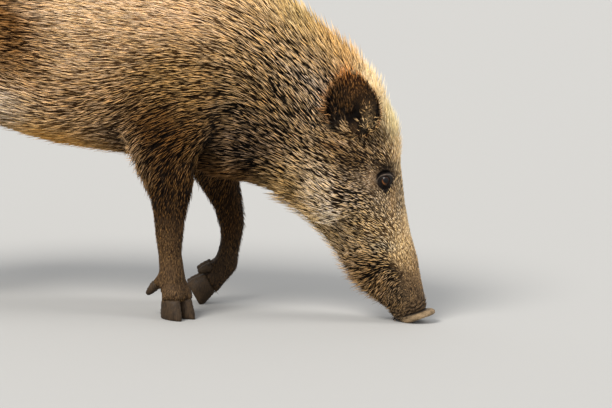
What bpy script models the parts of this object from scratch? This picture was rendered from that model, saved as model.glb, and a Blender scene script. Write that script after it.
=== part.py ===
"""A wild boar in summer coat, life size, standing with its snout on the ground.

Metres, +Z up.  The boar faces +X, its right side is -Y, and the floor is Z = 0.
The right forefoot carries weight, toes turned out; the left forefoot is flexed
back and stands on its toe tips; the hind feet are a short pace apart.

The body is lofted from named sections and limbs, fused and smoothed into one
form, then parted with thin cuts into head, neck, trunk, legs and tail.
"""

import math

import bmesh
import bpy
import numpy as np
from mathutils import Matrix, Vector
from mathutils.bvhtree import BVHTree

# --- driving dimensions ------------------------------------------------------
GAP = 0.0006            # width of every parting cut
FUSE_CELL = 0.005       # cell of the voxel remesh that fuses body and limbs
TRUNK_FACES = 3000      # triangles of the whole body at the trunk's fineness
LIMB_FACES = 2850       # the same at the limbs' fineness
HEAD_FACES = 7400       # the same at the head's fineness

EYE_RADIUS = 0.0115
EYE_PLACE = (0.379, 0.2235)     # X and Z of the pupil
EYE_SUNK = 0.0096               # from the skin down to the eye's centre
HOOF_HEIGHT = 0.030
HOOF_LENGTH = 0.046
HOOF_WIDTH = 0.021
HOOF_POINT = 0.42               # how much of its width a hoof loses at the toe tip
TOE_SPACING = 0.0125            # from a foot's mid line to each toe's mid line
DEWCLAW_LENGTH = 0.022
EAR_LENGTH = 0.109
EAR_WIDTH = 0.074
EAR_DEPTH = 0.024               # of the cup, at its deepest
EAR_ROOT = (0.3295, 0.0770, 0.2870)     # X, distance from the mid plane, Z

# Sections of trunk, neck and head, tail end first.  Each is an oval that stands
# on the mid plane: where its upper and lower ends lie (X, Z), its half width,
# how far up it is widest (0 to 1), and how square its upper and lower halves
# are (2 is an ellipse, less is a ridge, more is a box).
SECTIONS = {
    "buttock":       ((-0.463, 0.400), (-0.452, 0.345), 0.030, 0.50, 2.0, 2.0),
    "tail root":     ((-0.444, 0.446), (-0.430, 0.318), 0.066, 0.50, 2.0, 2.0),
    "croup":         ((-0.398, 0.483), (-0.372, 0.298), 0.088, 0.50, 2.0, 2.0),
    "hip":           ((-0.325, 0.512), (-0.296, 0.284), 0.100, 0.50, 2.0, 2.1),
    "flank":         ((-0.245, 0.529), (-0.218, 0.272), 0.108, 0.48, 2.0, 2.1),
    "paunch":        ((-0.155, 0.541), (-0.140, 0.251), 0.116, 0.45, 1.9, 2.2),
    "ribs":          ((-0.065, 0.549), (-0.062, 0.241), 0.117, 0.45, 1.85, 2.2),
    "girth":         ((0.020, 0.553), (-0.004, 0.236), 0.110, 0.45, 1.8, 2.1),
    "withers":       ((0.100, 0.541), (0.030, 0.230), 0.103, 0.46, 1.8, 2.0),
    "shoulder":      ((0.172, 0.511), (0.075, 0.222), 0.098, 0.47, 1.8, 2.0),
    "neck root":     ((0.232, 0.472), (0.118, 0.213), 0.093, 0.48, 1.8, 2.0),
    "mid neck":      ((0.286, 0.433), (0.158, 0.204), 0.088, 0.48, 1.75, 2.0),
    "nape":          ((0.336, 0.391), (0.196, 0.192), 0.082, 0.48, 1.8, 2.0),
    "poll":          ((0.372, 0.345), (0.226, 0.175), 0.077, 0.50, 2.0, 2.0),
    "brow":          ((0.391, 0.292), (0.250, 0.158), 0.072, 0.54, 2.2, 2.0),
    "eyes":          ((0.399, 0.236), (0.270, 0.141), 0.065, 0.60, 2.6, 1.9),
    "cheeks":        ((0.4065, 0.188), (0.289, 0.122), 0.055, 0.58, 2.4, 1.9),
    "nose bridge":   ((0.4172, 0.142), (0.309, 0.099), 0.045, 0.55, 2.3, 2.0),
    "mouth corners": ((0.4298, 0.104), (0.328, 0.074), 0.039, 0.52, 2.3, 2.1),
    "muzzle":        ((0.4375, 0.072), (0.350, 0.047), 0.035, 0.52, 2.4, 2.2),
    "chin":          ((0.4435, 0.048), (0.375, 0.028), 0.031, 0.54, 2.4, 2.2),
    "nose":          ((0.4480, 0.027), (0.396, 0.011), 0.027, 0.52, 2.3, 2.2),
    "nose end":      ((0.4515, 0.008), (0.400, -0.006), 0.026, 0.52, 2.2, 2.2),
}
RING_SIDES = 48
RINGS_BETWEEN = 4


# --- mesh helpers ------------------------------------------------------------
def clear_scene():
    for obj in list(bpy.data.objects):
        bpy.data.objects.remove(obj, do_unlink=True)


def new_collection(name, hidden=False):
    made = bpy.data.collections.new(name)
    bpy.context.scene.collection.children.link(made)
    made.hide_render = hidden
    return made


def new_object(name, mesh, collection):
    """An object in the collection; in a hidden one it is a cutter, drawn as wire."""
    obj = bpy.data.objects.new(name, mesh)
    collection.objects.link(obj)
    if collection.hide_render:
        obj.hide_render = True
        obj.display_type = "WIRE"
    return obj


def mesh_of(bm, name):
    """The bmesh as a mesh with its faces turned outwards."""
    bmesh.ops.recalc_face_normals(bm, faces=bm.faces)
    mesh = bpy.data.meshes.new(name)
    bm.to_mesh(mesh)
    bm.free()
    return mesh


def evaluated_mesh(obj):
    bpy.context.view_layer.update()
    graph = bpy.context.evaluated_depsgraph_get()
    return bpy.data.meshes.new_from_object(obj.evaluated_get(graph))


def loft(rings):
    """A closed skin through rings of points, each ring a list of Vectors."""
    bm = bmesh.new()
    loops = [[bm.verts.new(p) for p in ring] for ring in rings]
    sides = len(rings[0])
    for lower, upper in zip(loops, loops[1:]):
        for i in range(sides):
            j = (i + 1) % sides
            bm.faces.new((lower[i], lower[j], upper[j], upper[i]))
    bm.faces.new(list(reversed(loops[0])))
    bm.faces.new(loops[-1])
    return bm


def smooth_rows(rows, between):
    """Rows of numbers with smooth rows put in between (Catmull-Rom)."""
    rows = np.array(rows, float)
    padded = np.vstack([2 * rows[0] - rows[1], rows, 2 * rows[-1] - rows[-2]])
    out = []
    for i in range(1, len(rows)):
        p0, p1, p2, p3 = padded[i - 1:i + 3]
        for k in range(between):
            t = k / between
            out.append(0.5 * (2 * p1 + (p2 - p0) * t
                              + (2 * p0 - 5 * p1 + 4 * p2 - p3) * t ** 2
                              + (3 * p1 - p0 - 3 * p2 + p3) * t ** 3))
    out.append(rows[-1])
    return np.array(out)


def signed_power(value, power):
    return math.copysign(abs(value) ** power, value)


# --- body forms --------------------------------------------------------------
def oval_ring(top, bottom, half_width, widest, top_square, bottom_square):
    """One section of trunk, neck or head as a ring of points."""
    foot, up = Vector((bottom[0], 0, bottom[1])), Vector((top[0] - bottom[0], 0, top[1] - bottom[1]))
    ring = []
    for i in range(RING_SIDES):
        angle = 2 * math.pi * i / RING_SIDES
        rise, reach = math.sin(angle), math.cos(angle)
        square = top_square if rise >= 0 else bottom_square
        height = widest + signed_power(rise, 2 / square) * ((1 - widest) if rise >= 0 else widest)
        ring.append(foot + up * height + Vector((0, half_width * signed_power(reach, 2 / square), 0)))
    return ring


def core_form():
    rows = [(*top, *bottom, *rest) for top, bottom, *rest in SECTIONS.values()]
    rows = smooth_rows(rows, RINGS_BETWEEN)
    return loft([oval_ring(r[0:2], r[2:4], *r[4:8]) for r in rows])


def limb_form(stations, sides=20, between=4):
    """A limb through stations (x, y, z, half length fore and aft, half width across)."""
    rows = smooth_rows(stations, between)
    rings = []
    for n, (x, y, z, half_length, half_width) in enumerate(rows):
        ahead, behind = rows[min(n + 1, len(rows) - 1)], rows[max(n - 1, 0)]
        along = Vector(ahead[:3] - behind[:3]).normalized()
        across = Vector((0, 1, 0))
        fore = across.cross(along).normalized()
        across = along.cross(fore).normalized()
        rings.append([
            Vector((x, y, z))
            + fore * half_length * math.cos(2 * math.pi * i / sides)
            + across * half_width * math.sin(2 * math.pi * i / sides)
            for i in range(sides)
        ])
    return loft(rings)


def lump(centre, radii, pitch=0.0):
    """An ellipsoid of muscle or bone, tipped nose down by pitch degrees."""
    bm = bmesh.new()
    bmesh.ops.create_uvsphere(bm, u_segments=24, v_segments=16, radius=1.0)
    place = Matrix.Translation(centre) @ Matrix.Rotation(math.radians(pitch), 4, "Y")
    bmesh.ops.transform(bm, matrix=place @ Matrix.Diagonal((*radii, 1)), verts=bm.verts)
    return bm


def both_sides(centre, radii, pitch=0.0):
    x, y, z = centre
    return [lump((x, side * y, z), radii, pitch) for side in (-1, 1)]


# --- limbs -------------------------------------------------------------------
# Each leg runs from inside the trunk down to its fetlock, the last station.
RIGHT_FORE = [
    (0.070, -0.064, 0.420, 0.070, 0.030),   # shoulder blade
    (0.058, -0.078, 0.350, 0.078, 0.036),
    (0.044, -0.084, 0.290, 0.070, 0.038),   # upper arm
    (0.043, -0.082, 0.245, 0.051, 0.035),   # elbow
    (0.050, -0.080, 0.200, 0.037, 0.030),   # forearm
    (0.051, -0.080, 0.160, 0.0275, 0.024),
    (0.0515, -0.080, 0.128, 0.0235, 0.0225),  # knee
    (0.0535, -0.080, 0.104, 0.0200, 0.0190),
    (0.0570, -0.080, 0.080, 0.0195, 0.0180),  # cannon
    (0.0600, -0.081, 0.058, 0.0205, 0.0205),  # fetlock
]
LEFT_FORE = [
    (0.085, 0.064, 0.420, 0.070, 0.030),
    (0.086, 0.078, 0.350, 0.078, 0.036),
    (0.092, 0.083, 0.290, 0.068, 0.038),
    (0.104, 0.081, 0.245, 0.052, 0.035),    # elbow, carried forward
    (0.119, 0.078, 0.200, 0.036, 0.030),
    (0.134, 0.076, 0.165, 0.0275, 0.025),
    (0.1435, 0.075, 0.130, 0.0235, 0.0230),  # knee
    (0.1435, 0.075, 0.104, 0.0190, 0.0190),
    (0.1400, 0.075, 0.080, 0.0180, 0.0180),
    (0.1370, 0.075, 0.060, 0.0200, 0.0200),  # fetlock, flexed
]
HIND_HALF_STANCE = 0.078        # from the mid plane to each hind foot


def hind_leg(side, stride):
    """A hind leg whose foot is carried forward by stride metres."""
    half = HIND_HALF_STANCE
    shape = [                   # x, y, z, half length, half width, share of the stride
        (-0.360, 0.052, 0.445, 0.070, 0.034, 0.00),    # hip
        (-0.352, 0.068, 0.385, 0.095, 0.042, 0.05),    # thigh
        (-0.334, 0.078, 0.325, 0.090, 0.042, 0.15),
        (-0.338, 0.082, 0.275, 0.068, 0.037, 0.35),    # stifle
        (-0.368, 0.082, 0.235, 0.046, 0.029, 0.55),
        (-0.402, half, 0.198, 0.031, 0.022, 0.75),
        (-0.424, half, 0.168, 0.027, 0.019, 0.85),    # hock
        (-0.421, half, 0.138, 0.0205, 0.0165, 0.92),
        (-0.410, half, 0.100, 0.0185, 0.0165, 0.97),   # cannon
        (-0.399, half, 0.060, 0.0200, 0.0200, 1.00),   # fetlock
    ]
    return [(x + stride * share, side * y, z, length, width) for x, y, z, length, width, share in shape]


RIGHT_HIND = hind_leg(-1, -0.030)
LEFT_HIND = hind_leg(1, 0.055)


class Foot:
    """Where a foot's two toes stand, and how they are turned.

    A toe's own frame has its origin in the middle of the coronet, +X to the toe
    tip and +Z up the leg.  toe_out turns it away from the mid plane, and
    pitch tips the toe tips down, both in degrees.
    """

    def __init__(self, leg, side, reach, toe_out=8.0, pitch=0.0, lift=0.0, splay=6.0):
        self.side, self.splay = side, splay
        self.fetlock = Vector(leg[-1][:3])
        heading = math.radians(-toe_out if side < 0 else toe_out)
        self.turn = Matrix.Rotation(heading, 4, "Z")
        forward = self.turn @ Vector((1, 0, 0))
        self.middle = Vector((self.fetlock.x, self.fetlock.y, 0)) + forward * reach
        self.middle.z = HOOF_HEIGHT + lift
        self.pitch = Matrix.Rotation(math.radians(pitch), 4, "Y")

    def toe_frame(self, toe):
        """The frame of the outer (+1) or inner (-1) toe."""
        outward = toe * self.side
        spread = Matrix.Rotation(math.radians(self.splay) * outward, 4, "Z")
        place = Matrix.Translation(self.middle) @ self.turn @ self.pitch
        return place @ Matrix.Translation((0, outward * TOE_SPACING, 0)) @ spread

    def toe_form(self, toe):
        """The fleshy toe, from inside the fetlock down into the coronet."""
        frame = self.toe_frame(toe)
        inside = frame @ Vector((0.001, 0, 0.004))
        end = frame @ Vector((0.002, 0, -0.004))
        start = self.fetlock + (inside - self.middle) * 0.35
        half = HOOF_WIDTH / 2 + 0.0004
        middle = start.lerp(inside, 0.55)
        return limb_form([
            (*start, 0.0165, half),
            (*middle, 0.0165, half),
            (*inside, 0.0175, half),
            (*end, 0.0175, half),
        ], sides=14, between=3)


FEET = {
    "right_fore": Foot(RIGHT_FORE, -1, reach=0.010, toe_out=38, splay=10),
    "left_fore": Foot(LEFT_FORE, 1, reach=-0.024, toe_out=4, pitch=58, lift=0.0035, splay=7),
    "right_hind": Foot(RIGHT_HIND, -1, reach=0.012),
    "left_hind": Foot(LEFT_HIND, 1, reach=0.012),
}
LEGS = {
    "right_fore": RIGHT_FORE,
    "left_fore": LEFT_FORE,
    "right_hind": RIGHT_HIND,
    "left_hind": LEFT_HIND,
}


def body_forms():
    """Every form that is fused into the body."""
    forms = [core_form()]
    forms += [limb_form(stations) for stations in LEGS.values()]
    for foot in FEET.values():
        for toe in (-1, 1):
            start, direction = dewclaw_line(foot, toe)
            forms.append(foot.toe_form(toe))
            forms.append(tapered(start, direction, (0.0095, 0.0095, 0.0085, 0.0070), 0.006))
    forms += both_sides((0.296, 0.034, 0.212), (0.070, 0.042, 0.056), 50)      # jowl
    forms += both_sides((0.348, 0.040, 0.226), (0.050, 0.030, 0.034), 62)      # cheek bone
    forms += both_sides((0.370, 0.030, 0.252), (0.024, 0.033, 0.034), 20)      # brow
    forms += both_sides((0.330, 0.034, 0.320), (0.038, 0.027, 0.048), 0)       # root of the ear
    forms += both_sides((0.150, 0.060, 0.300), (0.050, 0.036, 0.070), 0)       # point of the shoulder
    forms += both_sides((-0.250, 0.064, 0.318), (0.070, 0.026, 0.030), -28)    # fold of the flank
    forms += both_sides((-0.390, 0.050, 0.350), (0.060, 0.046, 0.080), -10)    # back of the thigh
    forms.append(lump((0.140, 0, 0.232), (0.080, 0.060, 0.026), 10))           # brisket
    forms.append(lump((0.400, 0, 0.045), (0.040, 0.026, 0.026), 60))           # upper lip
    return forms


def fused_body(collection):
    """All the forms as one smooth closed mesh, finely faced."""
    whole = bmesh.new()
    for form in body_forms():
        part = mesh_of(form, "form")
        whole.from_mesh(part)
        bpy.data.meshes.remove(part)
    mesh = bpy.data.meshes.new("forms")
    whole.to_mesh(mesh)
    whole.free()
    body = new_object("fused_body", mesh, collection)
    remesh = body.modifiers.new("fuse", "REMESH")
    remesh.mode = "VOXEL"
    remesh.voxel_size = FUSE_CELL
    smooth = body.modifiers.new("smooth", "SMOOTH")
    smooth.factor = 0.5
    smooth.iterations = 7
    body.data = evaluated_mesh(body)
    body.modifiers.clear()
    return body


# --- parting cuts ------------------------------------------------------------
# A leg is parted from the body by an arched prism that stands on the floor:
# its X span, the top of the arch, and its distance from the mid plane.
LEG_ARCHES = {
    "right_fore": (-0.040, 0.150, 0.385, 0.038),
    "left_fore": (0.010, 0.200, 0.385, 0.038),
    "right_hind": (-0.520, -0.238, 0.432, 0.026),
    "left_hind": (-0.520, -0.238, 0.432, 0.026),
}
# Planes across the mid plane, each through an upper and a lower point (X, Z).
HEAD_CUT = ((0.322, 0.400), (0.222, 0.180))
NECK_CUT = ((0.222, 0.482), (0.128, 0.208))

DISC_CENTRE = Vector((0.4345, 0, 0.0088))
DISC_TILT = 18.0                # degrees that the disc's front rim is raised
DISC_HALF_LENGTH = 0.0295
DISC_HALF_WIDTH = 0.0290
DISC_THICKNESS = 0.0085
NOSTRIL_RADII = (0.0062, 0.0048)
NOSTRIL_SPACING = 0.0125


def arch_cutter(leg, side, collection, grow=0.0):
    """The prism of LEG_ARCHES, grown on every side by grow."""
    x_from, x_to, top, inner = LEG_ARCHES[leg]
    middle, radius = (x_from + x_to) / 2, (x_to - x_from) / 2 + grow
    spring = top - (x_to - x_from) / 2
    outline = [(middle - radius, -0.1), (middle + radius, -0.1)]
    steps = 20
    for i in range(steps + 1):
        angle = math.pi * i / steps
        outline.append((middle + radius * math.cos(angle), spring + radius * math.sin(angle)))
    walls = [[Vector((x, side * y, z)) for x, z in outline] for y in (inner - grow, 0.3)]
    return new_object(f"{leg}_arch", mesh_of(loft(walls), "arch"), collection)


def boolean(obj, operation, other):
    """The mesh of obj after one Boolean with other."""
    cut = obj.modifiers.new("cut", "BOOLEAN")
    cut.operation = operation
    cut.object = other
    mesh = evaluated_mesh(obj)
    obj.modifiers.clear()
    obj.data = mesh


def keep_side(mesh, point, normal):
    """The part of mesh on the side that normal points to, closed at the cut."""
    bm = bmesh.new()
    bm.from_mesh(mesh)
    geometry = bm.verts[:] + bm.edges[:] + bm.faces[:]
    bmesh.ops.bisect_plane(bm, geom=geometry, plane_co=point, plane_no=-Vector(normal), clear_outer=True)
    bmesh.ops.holes_fill(bm, edges=[e for e in bm.edges if e.is_boundary], sides=0)
    return mesh_of(bm, mesh.name)


def cut_plane(upper_and_lower):
    """A point and a forward normal of a plane across the mid plane."""
    (x1, z1), (x0, z0) = upper_and_lower
    up = Vector((x1 - x0, 0, z1 - z0)).normalized()
    return Vector((x0, 0, z0)), Vector((up.z, 0, -up.x))


def thinned(body, faces, name, collection):
    """A copy of the fused body with about this many triangles."""
    copy = new_object(name, body.data.copy(), collection)
    thin = copy.modifiers.new("thin", "DECIMATE")
    thin.ratio = faces / (2 * len(body.data.polygons))
    copy.data = evaluated_mesh(copy)
    copy.modifiers.clear()
    return copy


def grown_copy(obj, by, collection):
    copy = new_object(obj.name + "_grown", obj.data.copy(), collection)
    swell = copy.modifiers.new("swell", "DISPLACE")
    swell.strength = by
    swell.mid_level = 0.0
    copy.data = evaluated_mesh(copy)
    copy.modifiers.clear()
    return copy


def fit_against(obj, *neighbours, collection):
    """Cuts obj back so that it meets its neighbours with the parting gap."""
    for neighbour in neighbours:
        cutter = grown_copy(neighbour, GAP, collection)
        boolean(obj, "DIFFERENCE", cutter)
        bpy.data.objects.remove(cutter, do_unlink=True)


def surface_at(obj, x, z, side):
    """The point of obj's surface at X and Z, seen from the side, and its normal."""
    tree = BVHTree.FromObject(obj, bpy.context.evaluated_depsgraph_get())
    place, normal, _, _ = tree.ray_cast(Vector((x, side * 0.5, z)), Vector((0, -side, 0)))
    return place, normal


# --- pieces ------------------------------------------------------------------
def ear(side, collection):
    """A cup that opens outwards, its front margin curled in, thick at its root."""
    x, y, z = EAR_ROOT
    root = Vector((x, side * y, z))
    along = Vector((-0.22, side * 0.26, 0.94)).normalized()
    opening = Vector((0.10, side, -0.16))
    opening = (opening - along * opening.dot(along)).normalized()
    front = along.cross(opening) * -side
    rows, columns = 8, 7
    rings = []
    for i in range(rows + 1):
        t = 0.03 + 0.95 * i / rows
        width = EAR_WIDTH * math.sin(math.pi * t ** 0.85) ** 0.60
        depth = EAR_DEPTH * 1.35 * t ** 0.5 * (1 - t) ** 0.7
        cupped = min(1.0, t / 0.3)
        rear_curl = math.radians(50 + 30 * cupped - 45 * t)
        front_curl = math.radians(50 + 72 * cupped - 82 * t)
        reach = math.sin(rear_curl) + math.sin(min(front_curl, math.pi / 2))
        radius = width / reach
        rear_edge = -width / 2
        wall = 0.0036 + 0.022 * (1 - t) ** 2.5
        inner, outer = [], []
        for k in range(columns + 1):
            turn = -rear_curl + (rear_curl + front_curl) * k / columns
            sideways = rear_edge + radius * (math.sin(rear_curl) + math.sin(turn))
            hollow = depth * (math.cos(rear_curl) - math.cos(turn))
            point = root + along * EAR_LENGTH * t + front * sideways + opening * hollow
            outward = (front * math.sin(turn) * 0.7 - opening * math.cos(turn)).normalized()
            edge = 0.0034 + (wall - 0.0034) * math.cos(math.pi * (k / columns - 0.5)) ** 2
            inner.append(point)
            outer.append(point + outward * edge)
        rings.append(inner + outer[::-1])
    name = "ear_right" if side < 0 else "ear_left"
    return new_object(name, mesh_of(loft(rings), name), collection)


def eye_centre(side, head):
    place, normal = surface_at(head, *EYE_PLACE, side)
    return place - normal * EYE_SUNK


def ball(name, centre, radius, collection):
    bm = bmesh.new()
    bmesh.ops.create_icosphere(bm, subdivisions=3, radius=radius)
    bmesh.ops.translate(bm, vec=centre, verts=bm.verts)
    return new_object(name, mesh_of(bm, name), collection)


def snout_disc(collection, cutters):
    """The bare disc on the snout's end, with two nostrils and a flat on the floor."""
    place = Matrix.Translation(DISC_CENTRE) @ Matrix.Rotation(math.radians(-DISC_TILT), 4, "Y")
    profile = [(-0.5, 0.91), (-0.25, 0.99), (0.25, 0.99), (0.5, 0.91)]     # height, reach
    rings = []
    sides = 28
    for height, reach in profile:
        rings.append([
            place @ Vector((
                DISC_HALF_LENGTH * reach * math.cos(2 * math.pi * i / sides),
                DISC_HALF_WIDTH * reach * math.sin(2 * math.pi * i / sides),
                height * DISC_THICKNESS,
            ))
            for i in range(sides)
        ])
    disc = new_object("snout_disc", mesh_of(loft(rings), "snout_disc"), collection)
    for side in (-1, 1):
        bm = bmesh.new()
        bmesh.ops.create_cone(bm, cap_ends=True, segments=12, radius1=1, radius2=1, depth=0.013)
        shape = Matrix.Translation((0.004, side * NOSTRIL_SPACING, -0.006))
        shape = shape @ Matrix.Diagonal((*NOSTRIL_RADII, 1, 1))
        bmesh.ops.transform(bm, matrix=place @ shape, verts=bm.verts)
        nostril = new_object("nostril", mesh_of(bm, "nostril"), cutters)
        boolean(disc, "DIFFERENCE", nostril)
    disc.data = keep_side(disc.data, Vector((0, 0, 0)), Vector((0, 0, 1)))
    return disc


def hoof(name, frame, collection):
    """One main hoof: a wedge with a steep front wall and a flat sole."""
    levels = 3
    sides = 12
    rings = []
    for i in range(levels + 1):
        t = i / levels
        front = 0.0160 + (HOOF_LENGTH / 2 + 0.0030 - 0.0160) * t
        heel = -0.0175 - (HOOF_LENGTH / 2 - 0.0030 - 0.0175) * t
        half = HOOF_WIDTH / 2 * (0.98 + 0.08 * math.sin(math.pi * min(1.0, t * 0.8 + 0.1)))
        edge = 0.94 if i == levels else 1.0
        middle, reach = (front + heel) / 2, (front - heel) / 2 * edge
        ring = []
        for k in range(sides):
            angle = 2 * math.pi * k / sides
            taper = 1 - HOOF_POINT * max(0.0, math.cos(angle)) ** 2
            ring.append(frame @ Vector((
                middle + reach * math.cos(angle),
                half * edge * taper * signed_power(math.sin(angle), 0.85),
                -GAP - (HOOF_HEIGHT - GAP) * t,
            )))
        rings.append(ring)
    obj = new_object(name, mesh_of(loft(rings), name), collection)
    obj.data = keep_side(obj.data, Vector((0, 0, 0)), Vector((0, 0, 1)))
    return obj


def dewclaw_line(foot, toe):
    """Where a dewclaw starts on the back of the fetlock, and its direction."""
    outward = toe * foot.side
    flexed = foot.middle.x < foot.fetlock.x
    start = Vector((-0.012, outward * 0.0115, 0.004 if flexed else 0.001))
    direction = Vector((-0.90, outward * 0.16, -0.38) if flexed else (-0.62, outward * 0.18, -0.74)).normalized()
    turned = foot.turn.to_3x3()
    return foot.fetlock + turned @ start, turned @ direction


def tapered(start, direction, radii, spacing):
    """A closed tapering tube along a straight line, a little flattened across Y."""
    rows = []
    for i, radius in enumerate(radii):
        point = start + direction * spacing * i
        rows.append((*point, radius, radius * 0.85))
    return limb_form(rows, sides=8, between=1)


def dewclaw(name, foot, toe, collection):
    start, direction = dewclaw_line(foot, toe)
    radii = (0.0072, 0.0068, 0.0054, 0.0028)
    claw = tapered(start + direction * 0.012, direction, radii, DEWCLAW_LENGTH / (len(radii) - 1))
    return new_object(name, mesh_of(claw, name), collection)


def tail(collection):
    """The straight hanging tail, a little thicker at the tassel."""
    stations = [
        (-0.425, 0.000, 0.452, 0.018, 0.018),
        (-0.458, 0.000, 0.440, 0.0155, 0.0155),
        (-0.482, 0.002, 0.405, 0.0120, 0.0120),
        (-0.489, 0.006, 0.355, 0.0095, 0.0095),
        (-0.490, 0.010, 0.305, 0.0085, 0.0085),
        (-0.488, 0.013, 0.265, 0.0110, 0.0110),
        (-0.486, 0.015, 0.230, 0.0100, 0.0100),
        (-0.485, 0.016, 0.205, 0.0030, 0.0030),
    ]
    return new_object("tail", mesh_of(limb_form(stations, sides=8, between=2), "tail"), collection)


# --- finishes ----------------------------------------------------------------
FINISHES = {                    # colour, roughness
    "coat": ((0.250, 0.170, 0.100), 0.85),
    "dark_coat": ((0.085, 0.058, 0.038), 0.85),
    "bare_skin": ((0.230, 0.165, 0.130), 0.60),
    "horn": ((0.060, 0.048, 0.040), 0.45),
    "eye": ((0.060, 0.028, 0.014), 0.10),
}


FINISH_OF = {                   # by the first word of a node's name
    "leg": "dark_coat",
    "ear": "dark_coat",
    "snout": "bare_skin",
    "hoof": "horn",
    "dewclaw": "horn",
    "eye": "eye",
}


def finish(name):
    material = bpy.data.materials.get(name)
    if material is None:
        colour, roughness = FINISHES[name]
        material = bpy.data.materials.new(name)
        material.use_nodes = True
        shader = material.node_tree.nodes["Principled BSDF"]
        shader.inputs["Base Color"].default_value = (*colour, 1)
        shader.inputs["Roughness"].default_value = roughness
        shader.inputs["Metallic"].default_value = 0.0
    return material


def dress(obj, name):
    obj.data.materials.clear()
    obj.data.materials.append(finish(name))
    obj.data.shade_smooth()


# --- assembly ----------------------------------------------------------------
def part_legs(body, wild_boar, cutters):
    """The four legs as nodes, cut off at the arches above and at the coronets."""
    legs = {}
    for leg, foot in FEET.items():
        obj = new_object(f"leg_{leg}", body.data.copy(), wild_boar)
        arch = arch_cutter(leg, foot.side, cutters)
        boolean(obj, "INTERSECT", arch)
        bpy.data.objects.remove(arch, do_unlink=True)
        frame = foot.toe_frame(1)
        upward = (frame.to_3x3() @ Vector((0, 0, 1))).normalized()
        obj.data = keep_side(obj.data, frame.translation, upward)
        legs[leg] = obj
    return legs


def without_legs(body, cutters):
    """The body's mesh with the four legs taken out."""
    for leg, foot in FEET.items():
        arch = arch_cutter(leg, foot.side, cutters, grow=GAP)
        boolean(body, "DIFFERENCE", arch)
        bpy.data.objects.remove(arch, do_unlink=True)
    return body


def centre_on_origin(objects):
    """Moves the boar so that the middle of its box stands over the origin."""
    points = [vertex.co for obj in objects for vertex in obj.data.vertices]
    low = Vector([min(p[axis] for p in points) for axis in range(3)])
    high = Vector([max(p[axis] for p in points) for axis in range(3)])
    middle = (low + high) / 2
    for obj in objects:
        obj.data.transform(Matrix.Translation((-middle.x, -middle.y, 0)))


def build_boar():
    clear_scene()
    wild_boar = new_collection("wild_boar")
    cutters = new_collection("cutters", hidden=True)

    fused = fused_body(cutters)
    limb_body = thinned(fused, LIMB_FACES, "limb_body", cutters)
    trunk_body = without_legs(thinned(fused, TRUNK_FACES, "trunk_body", cutters), cutters)
    head_body = without_legs(thinned(fused, HEAD_FACES, "head_body", cutters), cutters)

    legs = part_legs(limb_body, wild_boar, cutters)

    head_point, head_forward = cut_plane(HEAD_CUT)
    neck_point, neck_forward = cut_plane(NECK_CUT)
    half_gap = GAP / 2
    trunk = new_object("trunk", keep_side(
        trunk_body.data, neck_point - neck_forward * half_gap, -neck_forward), wild_boar)
    neck_ahead = keep_side(trunk_body.data, neck_point + neck_forward * half_gap, neck_forward)
    neck = new_object("neck", keep_side(
        neck_ahead, head_point - head_forward * half_gap, -head_forward), wild_boar)
    head_ahead = keep_side(head_body.data, head_point + head_forward * half_gap, head_forward)
    disc_up = Vector((-math.sin(math.radians(DISC_TILT)), 0, math.cos(math.radians(DISC_TILT))))
    disc_back = DISC_CENTRE + disc_up * (DISC_THICKNESS / 2 + GAP)
    head = new_object("head", keep_side(head_ahead, disc_back, disc_up), wild_boar)

    pieces = {"trunk": trunk, "neck": neck, "head": head}
    eye_centres = {"eye_right": eye_centre(-1, head), "eye_left": eye_centre(1, head)}
    for name, centre in eye_centres.items():
        boolean(head, "DIFFERENCE", ball(name + "_socket", centre, EYE_RADIUS + GAP, cutters))
        pieces[name] = ball(name, centre, EYE_RADIUS, wild_boar)
    for side in (-1, 1):
        flap = ear(side, wild_boar)
        fit_against(flap, head, neck, collection=cutters)
        pieces[flap.name] = flap
    pieces["snout_disc"] = snout_disc(wild_boar, cutters)
    pieces["tail"] = tail(wild_boar)
    fit_against(pieces["tail"], trunk, collection=cutters)

    for leg, foot in FEET.items():
        pieces[f"leg_{leg}"] = legs[leg]
        for toe, toe_name in ((1, "outer"), (-1, "inner")):
            hoof_name = f"hoof_{leg}_{toe_name}"
            pieces[hoof_name] = hoof(hoof_name, foot.toe_frame(toe), wild_boar)
            claw_name = f"dewclaw_{leg}_{toe_name}"
            pieces[claw_name] = dewclaw(claw_name, foot, toe, wild_boar)
            fit_against(pieces[claw_name], legs[leg], collection=cutters)

    centre_on_origin(pieces.values())
    for name, obj in pieces.items():
        dress(obj, FINISH_OF.get(name.split("_")[0], "coat"))


build_boar()
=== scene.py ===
# Wild boar rooting with its head down: skin, coat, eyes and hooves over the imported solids.
# Metres, +Z up. The boar faces +X and shows its right side (-Y) to the camera.

import math

import bmesh
import bpy
import numpy as np
from mathutils import Matrix, Vector
from mathutils.bvhtree import BVHTree


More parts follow.
